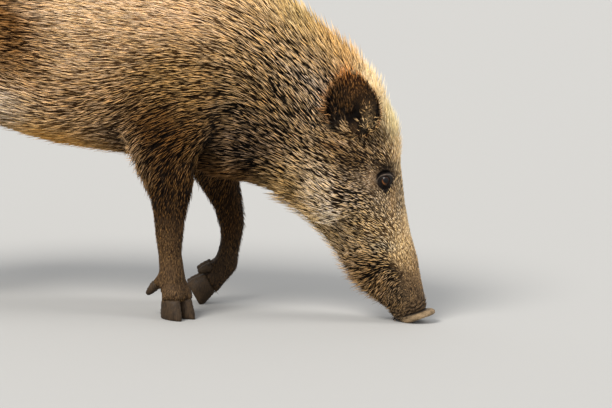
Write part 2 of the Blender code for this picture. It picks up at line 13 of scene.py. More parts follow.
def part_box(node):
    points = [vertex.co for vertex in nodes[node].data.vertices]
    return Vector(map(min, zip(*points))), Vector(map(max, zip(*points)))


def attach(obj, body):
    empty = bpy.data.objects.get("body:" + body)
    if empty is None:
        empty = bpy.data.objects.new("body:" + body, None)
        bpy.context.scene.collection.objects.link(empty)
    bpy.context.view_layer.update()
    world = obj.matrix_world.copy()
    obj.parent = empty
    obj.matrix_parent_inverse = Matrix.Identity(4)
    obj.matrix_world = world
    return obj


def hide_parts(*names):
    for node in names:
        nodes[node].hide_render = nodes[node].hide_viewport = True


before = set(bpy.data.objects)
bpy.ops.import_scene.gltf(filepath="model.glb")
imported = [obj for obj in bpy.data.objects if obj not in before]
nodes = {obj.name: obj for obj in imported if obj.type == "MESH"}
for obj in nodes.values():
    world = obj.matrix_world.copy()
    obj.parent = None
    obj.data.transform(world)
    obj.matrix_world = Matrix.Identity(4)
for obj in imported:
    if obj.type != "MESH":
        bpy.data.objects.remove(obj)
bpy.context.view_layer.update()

fleshNodes = ["trunk", "neck", "head", "snout_disc", "tail", "ear_right", "ear_left"]
fleshNodes += ["leg_" + name for name in ("right_fore", "left_fore", "right_hind", "left_hind")]
hornNodes = sorted(name for name in nodes if name.startswith(("hoof_", "dewclaw_")))
sides = {-1: "right", 1: "left"}      # by the sign of Y


def middleOf(name):
    low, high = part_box(name)
    return (Vector(low) + Vector(high)) / 2


eyeMiddles = {side: middleOf("eye_" + word) for side, word in sides.items()}
eyeRadius = (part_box("eye_right")[1][2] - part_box("eye_right")[0][2]) / 2
discMiddle = middleOf("snout_disc")
weldGap = 0.00001         # points of a solid nearer than this are one


def smoothStep(low, high, value):
    t = np.clip((value - low) / (high - low), 0.0, 1.0)
    return t * t * (3 - 2 * t)


def bump(value, middle, reach):
    return np.exp(-(((value - middle) / reach) ** 2))


def blend(one, other, share):
    return one * (1 - share) + other * share


def readTriples(items, field):
    found = np.empty(len(items) * 3, np.float32)
    items.foreach_get(field, found)
    return found.reshape(-1, 3).astype(float)


def readPoints(mesh):
    return readTriples(mesh.vertices, "co")


def readNormals(mesh):
    return readTriples(mesh.vertex_normals, "vector")


def writePoints(mesh, points):
    mesh.vertices.foreach_set("co", points.ravel())
    mesh.update()


def storeValues(mesh, name, kind, values):
    field = {"FLOAT": "value", "FLOAT_VECTOR": "vector", "FLOAT_COLOR": "color"}[kind]
    layer = mesh.attributes.new(name, kind, "POINT")
    layer.data.foreach_set(field, np.ascontiguousarray(values, dtype=np.float32).ravel())


def meshFrom(bm, name):
    mesh = bpy.data.meshes.new(name)
    bm.to_mesh(mesh)
    bm.free()
    return mesh


def addObject(name, data):
    obj = bpy.data.objects.new(name, data)
    bpy.context.scene.collection.objects.link(obj)
    return obj


def addSmoothing(obj, name, rounds, group=""):
    smooth = obj.modifiers.new(name, "SMOOTH")
    smooth.factor = 0.5
    smooth.iterations = rounds
    smooth.vertex_group = group


def applyModifiers(obj):
    graph = bpy.context.evaluated_depsgraph_get()
    graph.update()
    mesh = bpy.data.meshes.new_from_object(obj.evaluated_get(graph))
    obj.modifiers.clear()
    obj.data = mesh


skinPlan = {
    "voxel": 0.0020,          # cell of the remesh that closes the cuts between the solids
    "swell": 0.0007,          # the solids grow by this first, so that they meet
    "earSwell": 0.0012,
    "bodySmoothing": 110,     # rounds of smoothing on trunk and limbs
    "headSmoothing": 8,
    "earShare": 0.8,          # how much of that smoothing the ears get
    "kept": 0.22,             # share of the triangles kept, fewest on trunk and limbs
    "feet": (0.05, 0.09),     # heights between which the legs lose their fine faces
    "neckPlace": (0.236, 0.180),      # X and Z of the plane between neck and head,
    "neckFacing": (0.91, 0.41),       # and how far it faces ahead and down
    "neckFade": (-0.01, 0.02),
    "earMargin": 0.004,
    "earFade": (0.0015, 0.0095),      # distances from the head's solid between which an ear begins
    "earDepth": 0.0009,       # of the ears' coat
}

coatDepths = {                # places where the coat's depth is known: (x, y, z, depth)
    "rump": (-0.42, 0.04, 0.42, 0.007),
    "back": (-0.15, 0.0, 0.54, 0.009),
    "withers": (0.1, 0.0, 0.55, 0.01),
    "crest": (0.27, 0.0, 0.45, 0.012),
    "poll": (0.37, 0.0, 0.36, 0.014),
    "side": (-0.1, 0.12, 0.4, 0.007),
    "shoulder": (0.05, 0.11, 0.36, 0.006),
    "neckSide": (0.2, 0.09, 0.34, 0.007),
    "throat": (0.24, 0.03, 0.19, 0.007),
    "belly": (-0.1, 0.0, 0.24, 0.006),
    "thigh": (-0.36, 0.1, 0.32, 0.005),
    "gaskin": (-0.38, 0.09, 0.23, 0.003),
    "hock": (-0.42, 0.08, 0.15, 0.0015),
    "hindFoot": (-0.38, 0.08, 0.05, 0.0003),
    "upperArm": (0.06, 0.1, 0.25, 0.004),
    "forearm": (0.08, 0.08, 0.17, 0.0025),
    "foreFoot": (0.09, 0.08, 0.05, 0.0003),
    "cheek": (0.33, 0.07, 0.2, 0.0035),
    "temple": (0.36, 0.06, 0.27, 0.003),
    "eyeRing": (0.395, 0.06, 0.222, 0.002),
    "forehead": (0.4, 0.0, 0.27, 0.005),
    "noseBridge": (0.44, 0.0, 0.13, 0.0015),
    "muzzle": (0.41, 0.04, 0.09, 0.002),
    "chin": (0.385, 0.0, 0.035, 0.0025),
    "disc": (0.45, 0.0, 0.01, 0.0003),
    "ear": (0.335, 0.09, 0.345, 0.0006),
    "tail": (-0.47, 0.0, 0.33, 0.003),
}


def spread(points, places, softness=0.02):
    # blends each place's last numbers over the points, nearest places counting most; sides are alike
    table = np.array(list(places.values()), float)
    at = points.copy()
    at[:, 1] = np.abs(at[:, 1])
    total = np.zeros(len(points))
    mixed = np.zeros((len(points), table.shape[1] - 3))
    for row in table:
        gap = np.sum((at - row[:3]) ** 2, axis=1) + softness ** 2
        weight = gap ** -2.0
        total += weight
        mixed += weight[:, None] * row[3:]
    return mixed / total[:, None]


headSolids = bmesh.new()
for name in ("head", "neck", "trunk"):
    headSolids.from_mesh(nodes[name].data)
headTree = BVHTree.FromBMesh(headSolids)
headSolids.free()


def earBox(side):
    return (np.array(corner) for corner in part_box("ear_" + sides[side]))


def earMask(points):
    # 1 on the ears, fading to 0 at their roots by the distance from the head's own solid
    away = np.zeros(len(points))
    for side in sides:
        low, high = earBox(side)
        inside = (points > low - skinPlan["earMargin"]) & (points < high + skinPlan["earMargin"])
        for index in np.nonzero(np.all(inside, axis=1))[0]:
            away[index] = headTree.find_nearest(Vector(points[index]))[3]
    return smoothStep(*skinPlan["earFade"], away)


def headMask(points):
    # 1 ahead of the plane between head and neck
    (x, z), (ahead, down) = skinPlan["neckPlace"], skinPlan["neckFacing"]
    return smoothStep(*skinPlan["neckFade"], (points[:, 0] - x) * ahead - (points[:, 2] - z) * down)


def coatDepth(points):
    return blend(spread(points, coatDepths)[:, 0], skinPlan["earDepth"], earMask(points))


def gatherFlesh(plan):
    whole = bmesh.new()
    for name in fleshNodes + ["eye_right", "eye_left"]:
        part = bmesh.new()
        part.from_mesh(nodes[name].data)
        bmesh.ops.remove_doubles(part, verts=part.verts, dist=weldGap)
        part.normal_update()
        for vertex in part.verts:
            vertex.co += vertex.normal * plan["earSwell" if name.startswith("ear") else "swell"]
        loose = meshFrom(part, "loose")
        whole.from_mesh(loose)
        bpy.data.meshes.remove(loose)
    return meshFrom(whole, "skin")


def closeSkin(plan):
    obj = addObject("skin", gatherFlesh(plan))
    fuse = obj.modifiers.new("fuse", "REMESH")
    fuse.mode = "VOXEL"
    fuse.voxel_size = plan["voxel"]
    applyModifiers(obj)
    print("skin closed:", len(obj.data.polygons), "faces")

    points = readPoints(obj.data)
    fine = np.clip(headMask(points) + (1 - smoothStep(*plan["feet"], points[:, 2])), 0, 1)
    ear = earMask(points)
    rough = obj.vertex_groups.new(name="rough")
    mild = obj.vertex_groups.new(name="mild")
    for level in range(1, 11):
        chosen = np.nonzero(np.round((1 - fine) * 10) == level)[0]
        rough.add(chosen.tolist(), level / 10, "REPLACE")
    mild.add(np.nonzero(ear < 0.5)[0].tolist(), 1.0, "REPLACE")
    mild.add(np.nonzero(ear > 0.5)[0].tolist(), plan["earShare"], "REPLACE")
    addSmoothing(obj, "even", plan["bodySmoothing"], rough.name)
    addSmoothing(obj, "soften", plan["headSmoothing"], mild.name)
    thin = obj.modifiers.new("thin", "DECIMATE")
    thin.ratio = plan["kept"]
    thin.vertex_group = rough.name
    thin.vertex_group_factor = 1.0
    applyModifiers(obj)
    obj.vertex_groups.clear()
    print("skin thinned:", len(obj.data.polygons), "faces")
    return obj


facePlan = {
    "gaze": (0.16, 1.0, 0.04),        # the way the left eye looks; the right one mirrors it
    "openHalfLength": 0.0077,         # of the opening between the lids
    "openHalfHeight": 0.0068,
    "lidThickness": 0.0013,
    "lidReach": (0.0075, 0.0165),     # the lids run out into the skin between these distances
    "rimHeight": 0.0005,
    "foldHeight": 0.0011,             # of the raised fold round the lids
    "foldDip": 0.0017,                # behind that fold
    "tearDepth": 0.0018,              # of the groove at the front corner
    "cornerLean": (0.22, 0.0, -0.98),     # from the eye to its front corner
    "fineReach": 0.019,               # round the eye, where the skin gets finer faces
    "eyeReach": 0.04,                 # past this an eye has no effect on the colours
    "darkFront": 0.0240,              # reach of the dark skin round the eye: towards the snout,
    "darkBack": 0.0168,               # away from it,
    "darkHalf": 0.0132,               # and to each side
    "lidFold": (0.0082, 0.0120),      # reach of the raised fold: away from the snout, to each side
    "mouthLine": [(0.379, 0.098), (0.386, 0.078), (0.392, 0.052), (0.406, 0.024)],      # X and Z
    "mouthDepth": 0.0024,
    "lipSwell": 0.0011,               # beside the mouth line
    "wrinkle": 0.0011,                # height of the folds above the snout disc
    "wrinkleStep": 0.0068,
    "discSlope": 0.325,               # rise of the disc towards its front
    "discTop": 0.0036,                # from the disc's middle up to its upper face
    "discReach": 0.034,
    "noseGroove": 0.0016,             # depth of the groove round the disc
    "discTaper": 0.0035,              # how much thinner the disc is at its front
}


def eyeAxes(side):
    # the way the eye looks, the way to its front corner, and the way across its opening
    x, y, z = facePlan["gaze"]
    gaze = Vector((x, side * y, z)).normalized()
    long = Vector(facePlan["cornerLean"])
    long = (long - gaze * long.dot(gaze)).normalized()
    up = gaze.cross(long)
    if up.x < 0:
        up = -up
    return np.array(gaze), np.array(long), np.array(up)


def byEye(points, side):
    # each point's place along the eye's own axes, and its distance from the eye's middle
    away = points - np.array(eyeMiddles[side])
    return [away @ axis for axis in eyeAxes(side)] + [np.linalg.norm(away, axis=1)]


def lidRing(x, y):
    # 1 on the raised fold round the lids
    return np.hypot(x / facePlan["lidFold"][0], y / facePlan["lidFold"][1])


def refineRound(mesh, place, reach):
    bm = bmesh.new()
    bm.from_mesh(mesh)
    near = [edge for edge in bm.edges if (edge.verts[0].co - place).length < reach]
    bmesh.ops.subdivide_edges(bm, edges=near, cuts=1, use_grid_fill=True)
    bmesh.ops.triangulate(bm, faces=[face for face in bm.faces if len(face.verts) > 3])
    bm.to_mesh(mesh)
    bm.free()


def lidOpening(long, high):
    # below 0 between the lids, above 0 on them, in metres; the front corner is drawn to a point
    front = long > 0
    reach = facePlan["openHalfLength"] * np.where(front, 1.3, 0.85)
    share = np.clip(np.abs(long) / reach, 0, 1)
    arch = np.where(front, 1 - share ** 1.7, np.sqrt(1 - share ** 2.4))
    height = facePlan["openHalfHeight"] * np.where(high > 0, 1.0, 0.9)
    return np.abs(high) - height * arch + np.clip(np.abs(long) - reach, 0, None) * 0.7


def shapeLids(points, plan):
    for side in sides:
        h, x, y, _ = byEye(points, side)
        chosen = (np.hypot(x, y) < 0.028) & (h > -0.004) & (h < 0.03)
        h, x, y = h[chosen], x[chosen], y[chosen]
        r = np.hypot(x, y)
        ball = np.sqrt(np.clip(eyeRadius ** 2 - r ** 2, 0, None))
        lid = np.sqrt(np.clip((eyeRadius + plan["lidThickness"]) ** 2 - r ** 2, 0, None))
        height = blend(lid, h, smoothStep(*plan["lidReach"], r))
        ring, gap = lidRing(x, y), lidOpening(x, y)
        folds = plan["foldHeight"] * bump(ring, 1.08, 0.11) - plan["foldDip"] * bump(ring, 1.58, 0.15)
        height += (1 - smoothStep(-0.001, 0.008, x)) * folds             # only away from the snout
        height += plan["rimHeight"] * bump(gap, 0.0006, 0.0007)
        height -= plan["tearDepth"] * bump(x, 0.0125, 0.0040) * bump(y, 0.0, 0.0022)
        sunk = np.where(r < eyeRadius * 0.98, ball - 0.0022, h - 0.003)
        height = blend(height, sunk, smoothStep(0.0001, -0.0006, gap))
        points[chosen] += (height - h)[:, None] * eyeAxes(side)[0]
    return points


def lineGap(points, line):
    # distance in the side view from each point to a line through (X, Z) places
    flat = points[:, [0, 2]]
    best = np.full(len(points), 1.0)
    for start, end in zip(line, line[1:]):
        start, run = np.array(start), np.array(end) - np.array(start)
        share = np.clip((flat - start) @ run / (run @ run), 0, 1)
        best = np.minimum(best, np.linalg.norm(flat - start - share[:, None] * run, axis=1))
    return best


def overDisc(points):
    # height over the plane through the disc's middle, along Z
    return points[:, 2] - discMiddle.z - facePlan["discSlope"] * (points[:, 0] - discMiddle.x)


def noseFolds(points, plan):
    # height of the folds above the disc, and of the groove round it
    x, y, z = points.T
    rise = overDisc(points)
    wander = 0.0016 * np.sin(y * 190 + 1.3) + 0.0014 * np.sin(x * 260 + y * 70) + 0.0010 * np.sin(x * 610)
    waves = np.sin((rise + wander) * 2 * math.pi / plan["wrinkleStep"])
    reach = smoothStep(0.009, 0.013, rise) * (1 - smoothStep(0.017, 0.029, rise))
    folds = plan["wrinkle"] * waves * reach * smoothStep(0.405, 0.435, x)
    return folds - plan["noseGroove"] * bump(rise, 0.0072, 0.0017) * (x > 0.40)


def shapeMuzzle(points, normals, plan):
    x, y, z = points.T
    gap = lineGap(points, plan["mouthLine"])
    fade = smoothStep(0.006, 0.020, np.abs(y)) * (1 - smoothStep(0.070, 0.100, z))
    shift = -plan["mouthDepth"] * bump(gap, 0.0, 0.0015) * fade
    shift += plan["lipSwell"] * bump(gap, 0.0050, 0.0030) * fade
    shift += noseFolds(points, plan)
    moved = points + normals * (shift * (x > 0.34))[:, None]
    under = smoothStep(0.2, 0.8, -normals[:, 2]) * (overDisc(points) < plan["discTop"]) * (x > 0.41)
    moved[:, 2] += plan["discTaper"] * under * smoothStep(0.438, 0.476, x)
    return moved


# across the ear's cup: 0 at the rear margin, 1 at the front; up it: 0 at the root, 1 at the tip
earPlan = {
    "outward": (-0.30, 0.94, 0.12),       # the way the left cup faces
    "foldAt": 0.65,       # where the front wall's fold ends and the hollow starts
    "foldTop": 0.50,      # how far up the fold reaches
    "foldHeight": 0.0055,
    "hollow": 0.0050,
    "curls": 0.9,         # how unruly the hair on the front wall is
}


def earPlace(points, side):
    # how far across and up each point lies in the ear's own box
    low, high = earBox(side)
    across = (points[:, 0] - low[0]) / (high[0] - low[0])
    up = (points[:, 2] - low[2]) / (high[2] - low[2])
    return across, up


def earOutward(side):
    x, y, z = earPlan["outward"]
    return np.array((x, side * y, z))


def shapeEars(points, normals, plan):
    mask = earMask(points)
    for side in sides:
        across, up = earPlace(points, side)
        outward = earOutward(side)
        inner = mask * (side * points[:, 1] > 0.05) * smoothStep(0.35, 0.75, normals @ outward)
        inner *= smoothStep(0.05, 0.16, across) * (1 - smoothStep(0.90, 0.97, across))
        edge = plan["foldAt"] + 0.05 * (up - 0.2)
        fold = smoothStep(edge - 0.05, edge + 0.03, across)
        fold = fold * (1 - smoothStep(plan["foldTop"] - 0.14, plan["foldTop"] + 0.12, up))
        hollow = bump(across, edge - 0.10, 0.13) * bump(up, 0.22, 0.36)
        points = points + outward * (inner * (plan["foldHeight"] * fold - plan["hollow"] * hollow))[:, None]
    return points


def shapeFace(mesh, plan):
    for side in sides:
        refineRound(mesh, eyeMiddles[side], plan["fineReach"] + 0.005)
        refineRound(mesh, eyeMiddles[side], plan["fineReach"])
    refineRound(mesh, discMiddle, plan["discReach"])
    points = shapeMuzzle(readPoints(mesh), readNormals(mesh), plan)
    points = shapeEars(points, readNormals(mesh), earPlan)
    points = shapeLids(points, plan)
    points[:, 2] = np.maximum(points[:, 2], 0.0)
    writePoints(mesh, points)
    mesh.shade_smooth()
    print("face shaped:", len(mesh.polygons), "faces")


def insetSkin(mesh):
    points = readPoints(mesh)
    writePoints(mesh, points - readNormals(mesh) * coatDepth(points)[:, None])      # room for the coat


skin = closeSkin(skinPlan)
insetSkin(skin.data)
shapeFace(skin.data, facePlan)

# (x, y, z, lie, length, lift, width); lie in degrees up from the way to the tail, lift off the skin
coatLie = {
    "tailRoot": (-0.44, 0.02, 0.455, -35, 0.0269, 9, 0.00143),
    "rump": (-0.4, 0.06, 0.43, -32, 0.0269, 7, 0.00143),
    "buttock": (-0.45, 0.06, 0.36, -70, 0.0246, 8, 0.00134),
    "croup": (-0.33, 0.03, 0.5, -14, 0.0291, 7, 0.00151),
    "loin": (-0.2, 0.02, 0.535, -5, 0.0302, 7, 0.00151),
    "back": (-0.05, 0.02, 0.548, 0, 0.0314, 8, 0.00151),
    "withers": (0.08, 0.02, 0.545, 6, 0.0336, 8, 0.00151),
    "crestBase": (0.18, 0.0, 0.51, 24, 0.035, 12, 0.00143),
    "crest": (0.26, 0.0, 0.455, 40, 0.035, 15, 0.00134),
    "nape": (0.33, 0.0, 0.405, 50, 0.032, 16, 0.00126),
    "poll": (0.38, 0.0, 0.35, 66, 0.026, 14, 0.0015),
    "forehead": (0.402, 0.0, 0.29, 84, 0.017, 11, 0.0014),
    "brow": (0.41, 0.03, 0.245, 80, 0.01, 8, 0.00122),
    "hip": (-0.3, 0.11, 0.43, -20, 0.0258, 6, 0.00143),
    "thigh": (-0.35, 0.12, 0.34, -42, 0.0224, 6, 0.00134),
    "stifle": (-0.27, 0.11, 0.29, -30, 0.0213, 8, 0.00134),
    "upperRibs": (-0.12, 0.1, 0.47, 1, 0.0269, 6, 0.00143),
    "ribs": (-0.1, 0.12, 0.39, 7, 0.0246, 6, 0.00143),
    "flank": (-0.16, 0.11, 0.315, 20, 0.0246, 8, 0.00143),
    "flankFold": (-0.215, 0.1, 0.3, 30, 0.028, 10, 0.00143),
    "belly": (-0.08, 0.04, 0.245, 10, 0.0224, 10, 0.00134),
    "girth": (0.0, 0.08, 0.262, 4, 0.0224, 8, 0.00134),
    "shoulderTop": (0.09, 0.09, 0.47, 2, 0.0269, 6, 0.00143),
    "shoulder": (0.09, 0.12, 0.38, -4, 0.0224, 6, 0.00134),
    "armFront": (0.135, 0.09, 0.3, -8, 0.0213, 7, 0.00126),
    "armLow": (0.06, 0.12, 0.295, -28, 0.0213, 7, 0.00126),
    "elbow": (0.01, 0.1, 0.255, -60, 0.0291, 14, 0.00126),
    "forearm": (0.065, 0.1, 0.205, -78, 0.0143, 6, 0.00126),
    "knee": (0.068, 0.1, 0.13, -86, 0.0088, 5, 0.00105),
    "foreCannon": (0.072, 0.1, 0.085, -88, 0.0077, 5, 0.00094),
    "foreFoot": (0.085, 0.1, 0.04, -86, 0.0066, 6, 0.00084),
    "farForearm": (0.14, 0.07, 0.19, -75, 0.0132, 6, 0.00126),
    "farKnee": (0.16, 0.07, 0.125, -88, 0.0088, 5, 0.00105),
    "farFoot": (0.135, 0.07, 0.05, -100, 0.0066, 6, 0.00084),
    "neckTop": (0.21, 0.07, 0.43, 26, 0.028, 8, 0.00134),
    "neckSide": (0.225, 0.09, 0.34, 44, 0.0246, 8, 0.00126),
    "neckLow": (0.2, 0.08, 0.255, 34, 0.0235, 8, 0.00126),
    "throat": (0.25, 0.04, 0.19, 42, 0.0253, 13, 0.0017),
    "breast": (0.165, 0.03, 0.222, 6, 0.0224, 10, 0.00118),
    "behindEar": (0.3, 0.08, 0.35, 46, 0.023, 10, 0.0017),
    "underEar": (0.34, 0.08, 0.285, 30, 0.0172, 9, 0.00162),
    "temple": (0.375, 0.065, 0.265, 36, 0.0138, 8, 0.00135),
    "behindEye": (0.365, 0.065, 0.225, 20, 0.008, 5, 0.00122),
    "jowl": (0.305, 0.07, 0.19, 34, 0.0196, 9, 0.0017),
    "cheek": (0.345, 0.07, 0.195, 16, 0.0161, 8, 0.00149),
    "jaw": (0.33, 0.05, 0.125, 42, 0.02, 12, 0.0015),
    "underEye": (0.405, 0.06, 0.185, 56, 0.008, 5, 0.00108),
    "cheekFront": (0.385, 0.055, 0.15, 30, 0.0126, 8, 0.00135),
    "muzzleTop": (0.428, 0.03, 0.11, 76, 0.0069, 6, 0.00108),
    "noseBridge": (0.446, 0.0, 0.14, 88, 0.0053, 5, 0.00095),
    "mouthCorner": (0.383, 0.05, 0.104, 14, 0.0138, 16, 0.00135),
    "lip": (0.402, 0.045, 0.068, -58, 0.0175, 14, 0.0014),
    "jawTip": (0.365, 0.04, 0.06, -24, 0.02, 18, 0.0014),
    "chin": (0.384, 0.0, 0.028, -6, 0.0138, 12, 0.00122),
    "nose": (0.448, 0.03, 0.05, 84, 0.0042, 5, 0.00081),
    "lipFront": (0.425, 0.035, 0.04, -70, 0.008, 8, 0.00108),
    "ear": (0.33, 0.1, 0.345, 76, 0.0084, 7, 0.00122),
    "gaskin": (-0.385, 0.09, 0.235, -62, 0.0154, 6, 0.00136),
    "hock": (-0.425, 0.08, 0.165, -80, 0.0099, 6, 0.00116),
    "hindCannon": (-0.41, 0.09, 0.105, -88, 0.0077, 5, 0.00094),
    "hindFoot": (-0.39, 0.09, 0.045, -86, 0.0066, 6, 0.00084),
    "tailTop": (-0.465, 0.0, 0.43, -70, 0.0157, 6, 0.00092),
    "tailMiddle": (-0.477, 0.0, 0.34, -90, 0.0146, 6, 0.00084),
    "tassel": (-0.474, 0.01, 0.24, -90, 0.0381, 7, 0.00092),
}

# (x, y, z, red, green, blue of the tips, root), colours as seen; root is how light the roots are
coatTones = {
    "loin": (-0.175, 0.06, 0.51, 0.58, 0.41, 0.22, 0.2),
    "loinSide": (-0.16, 0.12, 0.445, 0.5, 0.345, 0.18, 0.16),
    "loinLow": (-0.18, 0.12, 0.385, 0.58, 0.425, 0.25, 0.16),
    # back and withers: pale partly from their own pale tips, partly as painted sunlight falling on the back
    "back": (-0.07, 0.03, 0.545, 0.98, 0.86, 0.7, 0.66),
    "withers": (0.05, 0.03, 0.545, 0.98, 0.88, 0.75, 0.76),
    "crestBase": (0.18, 0.0, 0.505, 0.85, 0.72, 0.53, 0.42),
    "crest": (0.26, 0.0, 0.45, 0.67, 0.57, 0.38, 0.14),
    "nape": (0.33, 0.0, 0.4, 0.74, 0.59, 0.38, 0.2),
    "poll": (0.38, 0.0, 0.35, 0.96, 0.86, 0.68, 0.56),
    "forehead": (0.402, 0.0, 0.29, 1.0, 0.93, 0.72, 1.0),
    "upperRibs": (-0.065, 0.1, 0.47, 0.96, 0.83, 0.66, 0.48),
    "ribs": (-0.075, 0.12, 0.4, 0.94, 0.8, 0.62, 0.34),
    "lowRibs": (-0.07, 0.11, 0.31, 0.81, 0.66, 0.48, 0.18),
    "belly": (-0.1, 0.03, 0.245, 1.0, 0.78, 0.44, 0.6),
    "flankFold": (-0.2, 0.1, 0.3, 1.0, 0.93, 0.84, 0.4),
    "hip": (-0.26, 0.11, 0.43, 0.68, 0.51, 0.32, 0.21),
    "rump": (-0.4, 0.05, 0.44, 0.66, 0.5, 0.32, 0.2),
    "thigh": (-0.34, 0.12, 0.34, 0.64, 0.49, 0.32, 0.13),
    "buttock": (-0.45, 0.05, 0.35, 0.55, 0.41, 0.27, 0.09),
    "gaskin": (-0.385, 0.09, 0.23, 0.4, 0.29, 0.18, 0.1),
    "hindCannon": (-0.41, 0.09, 0.1, 0.4, 0.3, 0.2, 0.16),
    "shoulderTop": (0.09, 0.09, 0.46, 0.9, 0.76, 0.59, 0.42),
    "shoulder": (0.08, 0.12, 0.37, 0.74, 0.59, 0.38, 0.13),
    "armLow": (0.06, 0.12, 0.295, 0.45, 0.305, 0.15, 0.04),
    "elbow": (0.005, 0.1, 0.255, 0.7, 0.57, 0.42, 0.06),
    "forearm": (0.065, 0.1, 0.2, 0.35, 0.24, 0.12, 0.08),
    "foreCannon": (0.072, 0.1, 0.09, 0.46, 0.35, 0.22, 0.14),
    "foreFoot": (0.085, 0.1, 0.04, 0.44, 0.34, 0.22, 0.16),
    "farLeg": (0.15, 0.06, 0.15, 0.37, 0.25, 0.11, 0.12),
    "farFoot": (0.13, 0.07, 0.05, 0.32, 0.24, 0.15, 0.14),
    "neckTop": (0.21, 0.07, 0.43, 0.74, 0.61, 0.44, 0.04),
    "neckSide": (0.225, 0.09, 0.34, 0.66, 0.54, 0.38, -0.12),
    "neckLow": (0.19, 0.08, 0.26, 0.5, 0.405, 0.31, -0.15),
    "breast": (0.165, 0.03, 0.222, 0.52, 0.38, 0.23, 0.12),
    "throat": (0.26, 0.04, 0.19, 0.65, 0.53, 0.35, 0.05),
    "throatFront": (0.31, 0.03, 0.14, 0.76, 0.64, 0.45, 0.1),
    "behindEar": (0.285, 0.085, 0.35, 0.68, 0.6, 0.5, -0.16),
    "underEar": (0.34, 0.08, 0.282, 0.66, 0.54, 0.38, 0.12),
    "temple": (0.372, 0.065, 0.262, 0.62, 0.51, 0.37, 0.07),
    "behindEye": (0.362, 0.065, 0.228, 0.62, 0.53, 0.42, 0.2),
    "jowl": (0.305, 0.07, 0.195, 0.9, 0.8, 0.66, 0.08),
    "cheek": (0.345, 0.07, 0.2, 0.7, 0.6, 0.48, 0.0),
    "jaw": (0.33, 0.05, 0.125, 0.66, 0.56, 0.42, 0.06),
    "underEye": (0.402, 0.05, 0.185, 0.78, 0.68, 0.54, 0.12),
    "cheekFront": (0.385, 0.055, 0.15, 0.84, 0.72, 0.54, 0.14),
    "muzzleTop": (0.42, 0.04, 0.115, 0.92, 0.79, 0.58, 0.22),
    "noseBridge": (0.442, 0.0, 0.15, 0.84, 0.74, 0.57, 0.6),
    "noseFront": (0.452, 0.0, 0.08, 0.68, 0.56, 0.4, 0.26),
    "lip": (0.402, 0.045, 0.065, 0.56, 0.45, 0.32, 0.05),
    "jawTip": (0.36, 0.04, 0.065, 0.66, 0.54, 0.4, -0.06),
    "chin": (0.384, 0.0, 0.028, 0.5, 0.4, 0.28, -0.02),
    "nose": (0.448, 0.03, 0.045, 0.5, 0.4, 0.28, 0.14),
    "ear": (0.335, 0.09, 0.345, 0.36, 0.25, 0.15, 0.1),
    "tail": (-0.47, 0.0, 0.34, 0.45, 0.33, 0.22, 0.12),
    "tassel": (-0.474, 0.01, 0.24, 0.24, 0.17, 0.12, 0.1),
}

bareTones = {             # colours as seen
    "lids": (0.085, 0.065, 0.055),
    # painted highlight: the lit ridge of the fold round the lids, paler than the dark lid skin
    "lidFold": (0.36, 0.31, 0.265),
    "snout": (0.46, 0.385, 0.29),
}
earTones = {              # (across, up, reach across, reach up, tip colour as seen, root)
    "base": (0.5, 0.5, 9.0, 9.0, (0.29, 0.2, 0.105), 0.06),
    "top": (0.42, 1.0, 0.42, 0.2, (0.8, 0.5, 0.23), 0.18),
    "bloom": (0.5, 0.76, 0.15, 0.15, (0.48, 0.33, 0.18), 0.08),
    "frontWall": (0.8, 0.22, 0.15, 0.26, (0.95, 0.8, 0.58), -0.14),
    "frontEdge": (1.03, 0.45, 0.06, 0.4, (0.07, 0.05, 0.04), 0.2),
    "lowRear": (0.24, 0.13, 0.18, 0.13, (0.2, 0.185, 0.165), 0.4),
    "baseTuft": (0.47, -0.06, 0.1, 0.07, (0.44, 0.36, 0.29), 0.4),
    # painted shade: near-black colour that deepens the shade in the ear's hollow
    "hollow": (0.57, 0.25, 0.075, 0.26, (0.035, 0.028, 0.022), 0.3),
    "rearRim": (-0.02, 0.38, 0.1, 0.3, (0.72, 0.52, 0.36), 0.05),
}
earBack = (0.62, 0.46, 0.30, 0.10)        # tip colour and root on the side towards the head
faceTones = {             # (x, z, reach in x, reach in z, tip colour as seen, root), alike on both sides
    "temple": (0.347, 0.25, 0.024, 0.014, (0.43, 0.33, 0.21), 0.03),
    "underEar": (0.332, 0.276, 0.012, 0.007, (0.82, 0.69, 0.54), 0.2),
    # painted shade: a narrow dark band in the fold under the ear
    "underEarFoldShadow": (0.318, 0.268, 0.018, 0.006, (0.4, 0.29, 0.18), 0.03),
    "behindEye": (0.37, 0.224, 0.008, 0.015, (0.66, 0.57, 0.46), 0.42),
    "jowl": (0.322, 0.162, 0.014, 0.018, (1.0, 0.93, 0.83), 0.2),
    "aboveMouth": (0.398, 0.118, 0.02, 0.01, (0.9, 0.81, 0.66), 0.08),
    "lips": (0.382, 0.072, 0.022, 0.032, (0.62, 0.49, 0.33), -0.18),
    "lipFront": (0.418, 0.042, 0.022, 0.014, (0.56, 0.45, 0.32), -0.06),
    "behindEar": (0.329, 0.354, 0.009, 0.018, (0.72, 0.46, 0.25), 0.03),
    "behindEarLow": (0.311, 0.328, 0.007, 0.016, (0.56, 0.39, 0.25), 0.0),
    # painted shade: a thin dark band in the fold over the eye
    "browFoldShadow": (0.3975, 0.2435, 0.012, 0.003, (0.2, 0.16, 0.12), 0.1),
    "eyeFront": (0.404, 0.227, 0.0035, 0.01, (0.28, 0.235, 0.2), 0.05),
    "tearFront": (0.406, 0.192, 0.0055, 0.02, (0.66, 0.55, 0.4), 0.5),
    "foreheadEdge": (0.412, 0.262, 0.012, 0.026, (1.0, 0.88, 0.68), 0.5),
}

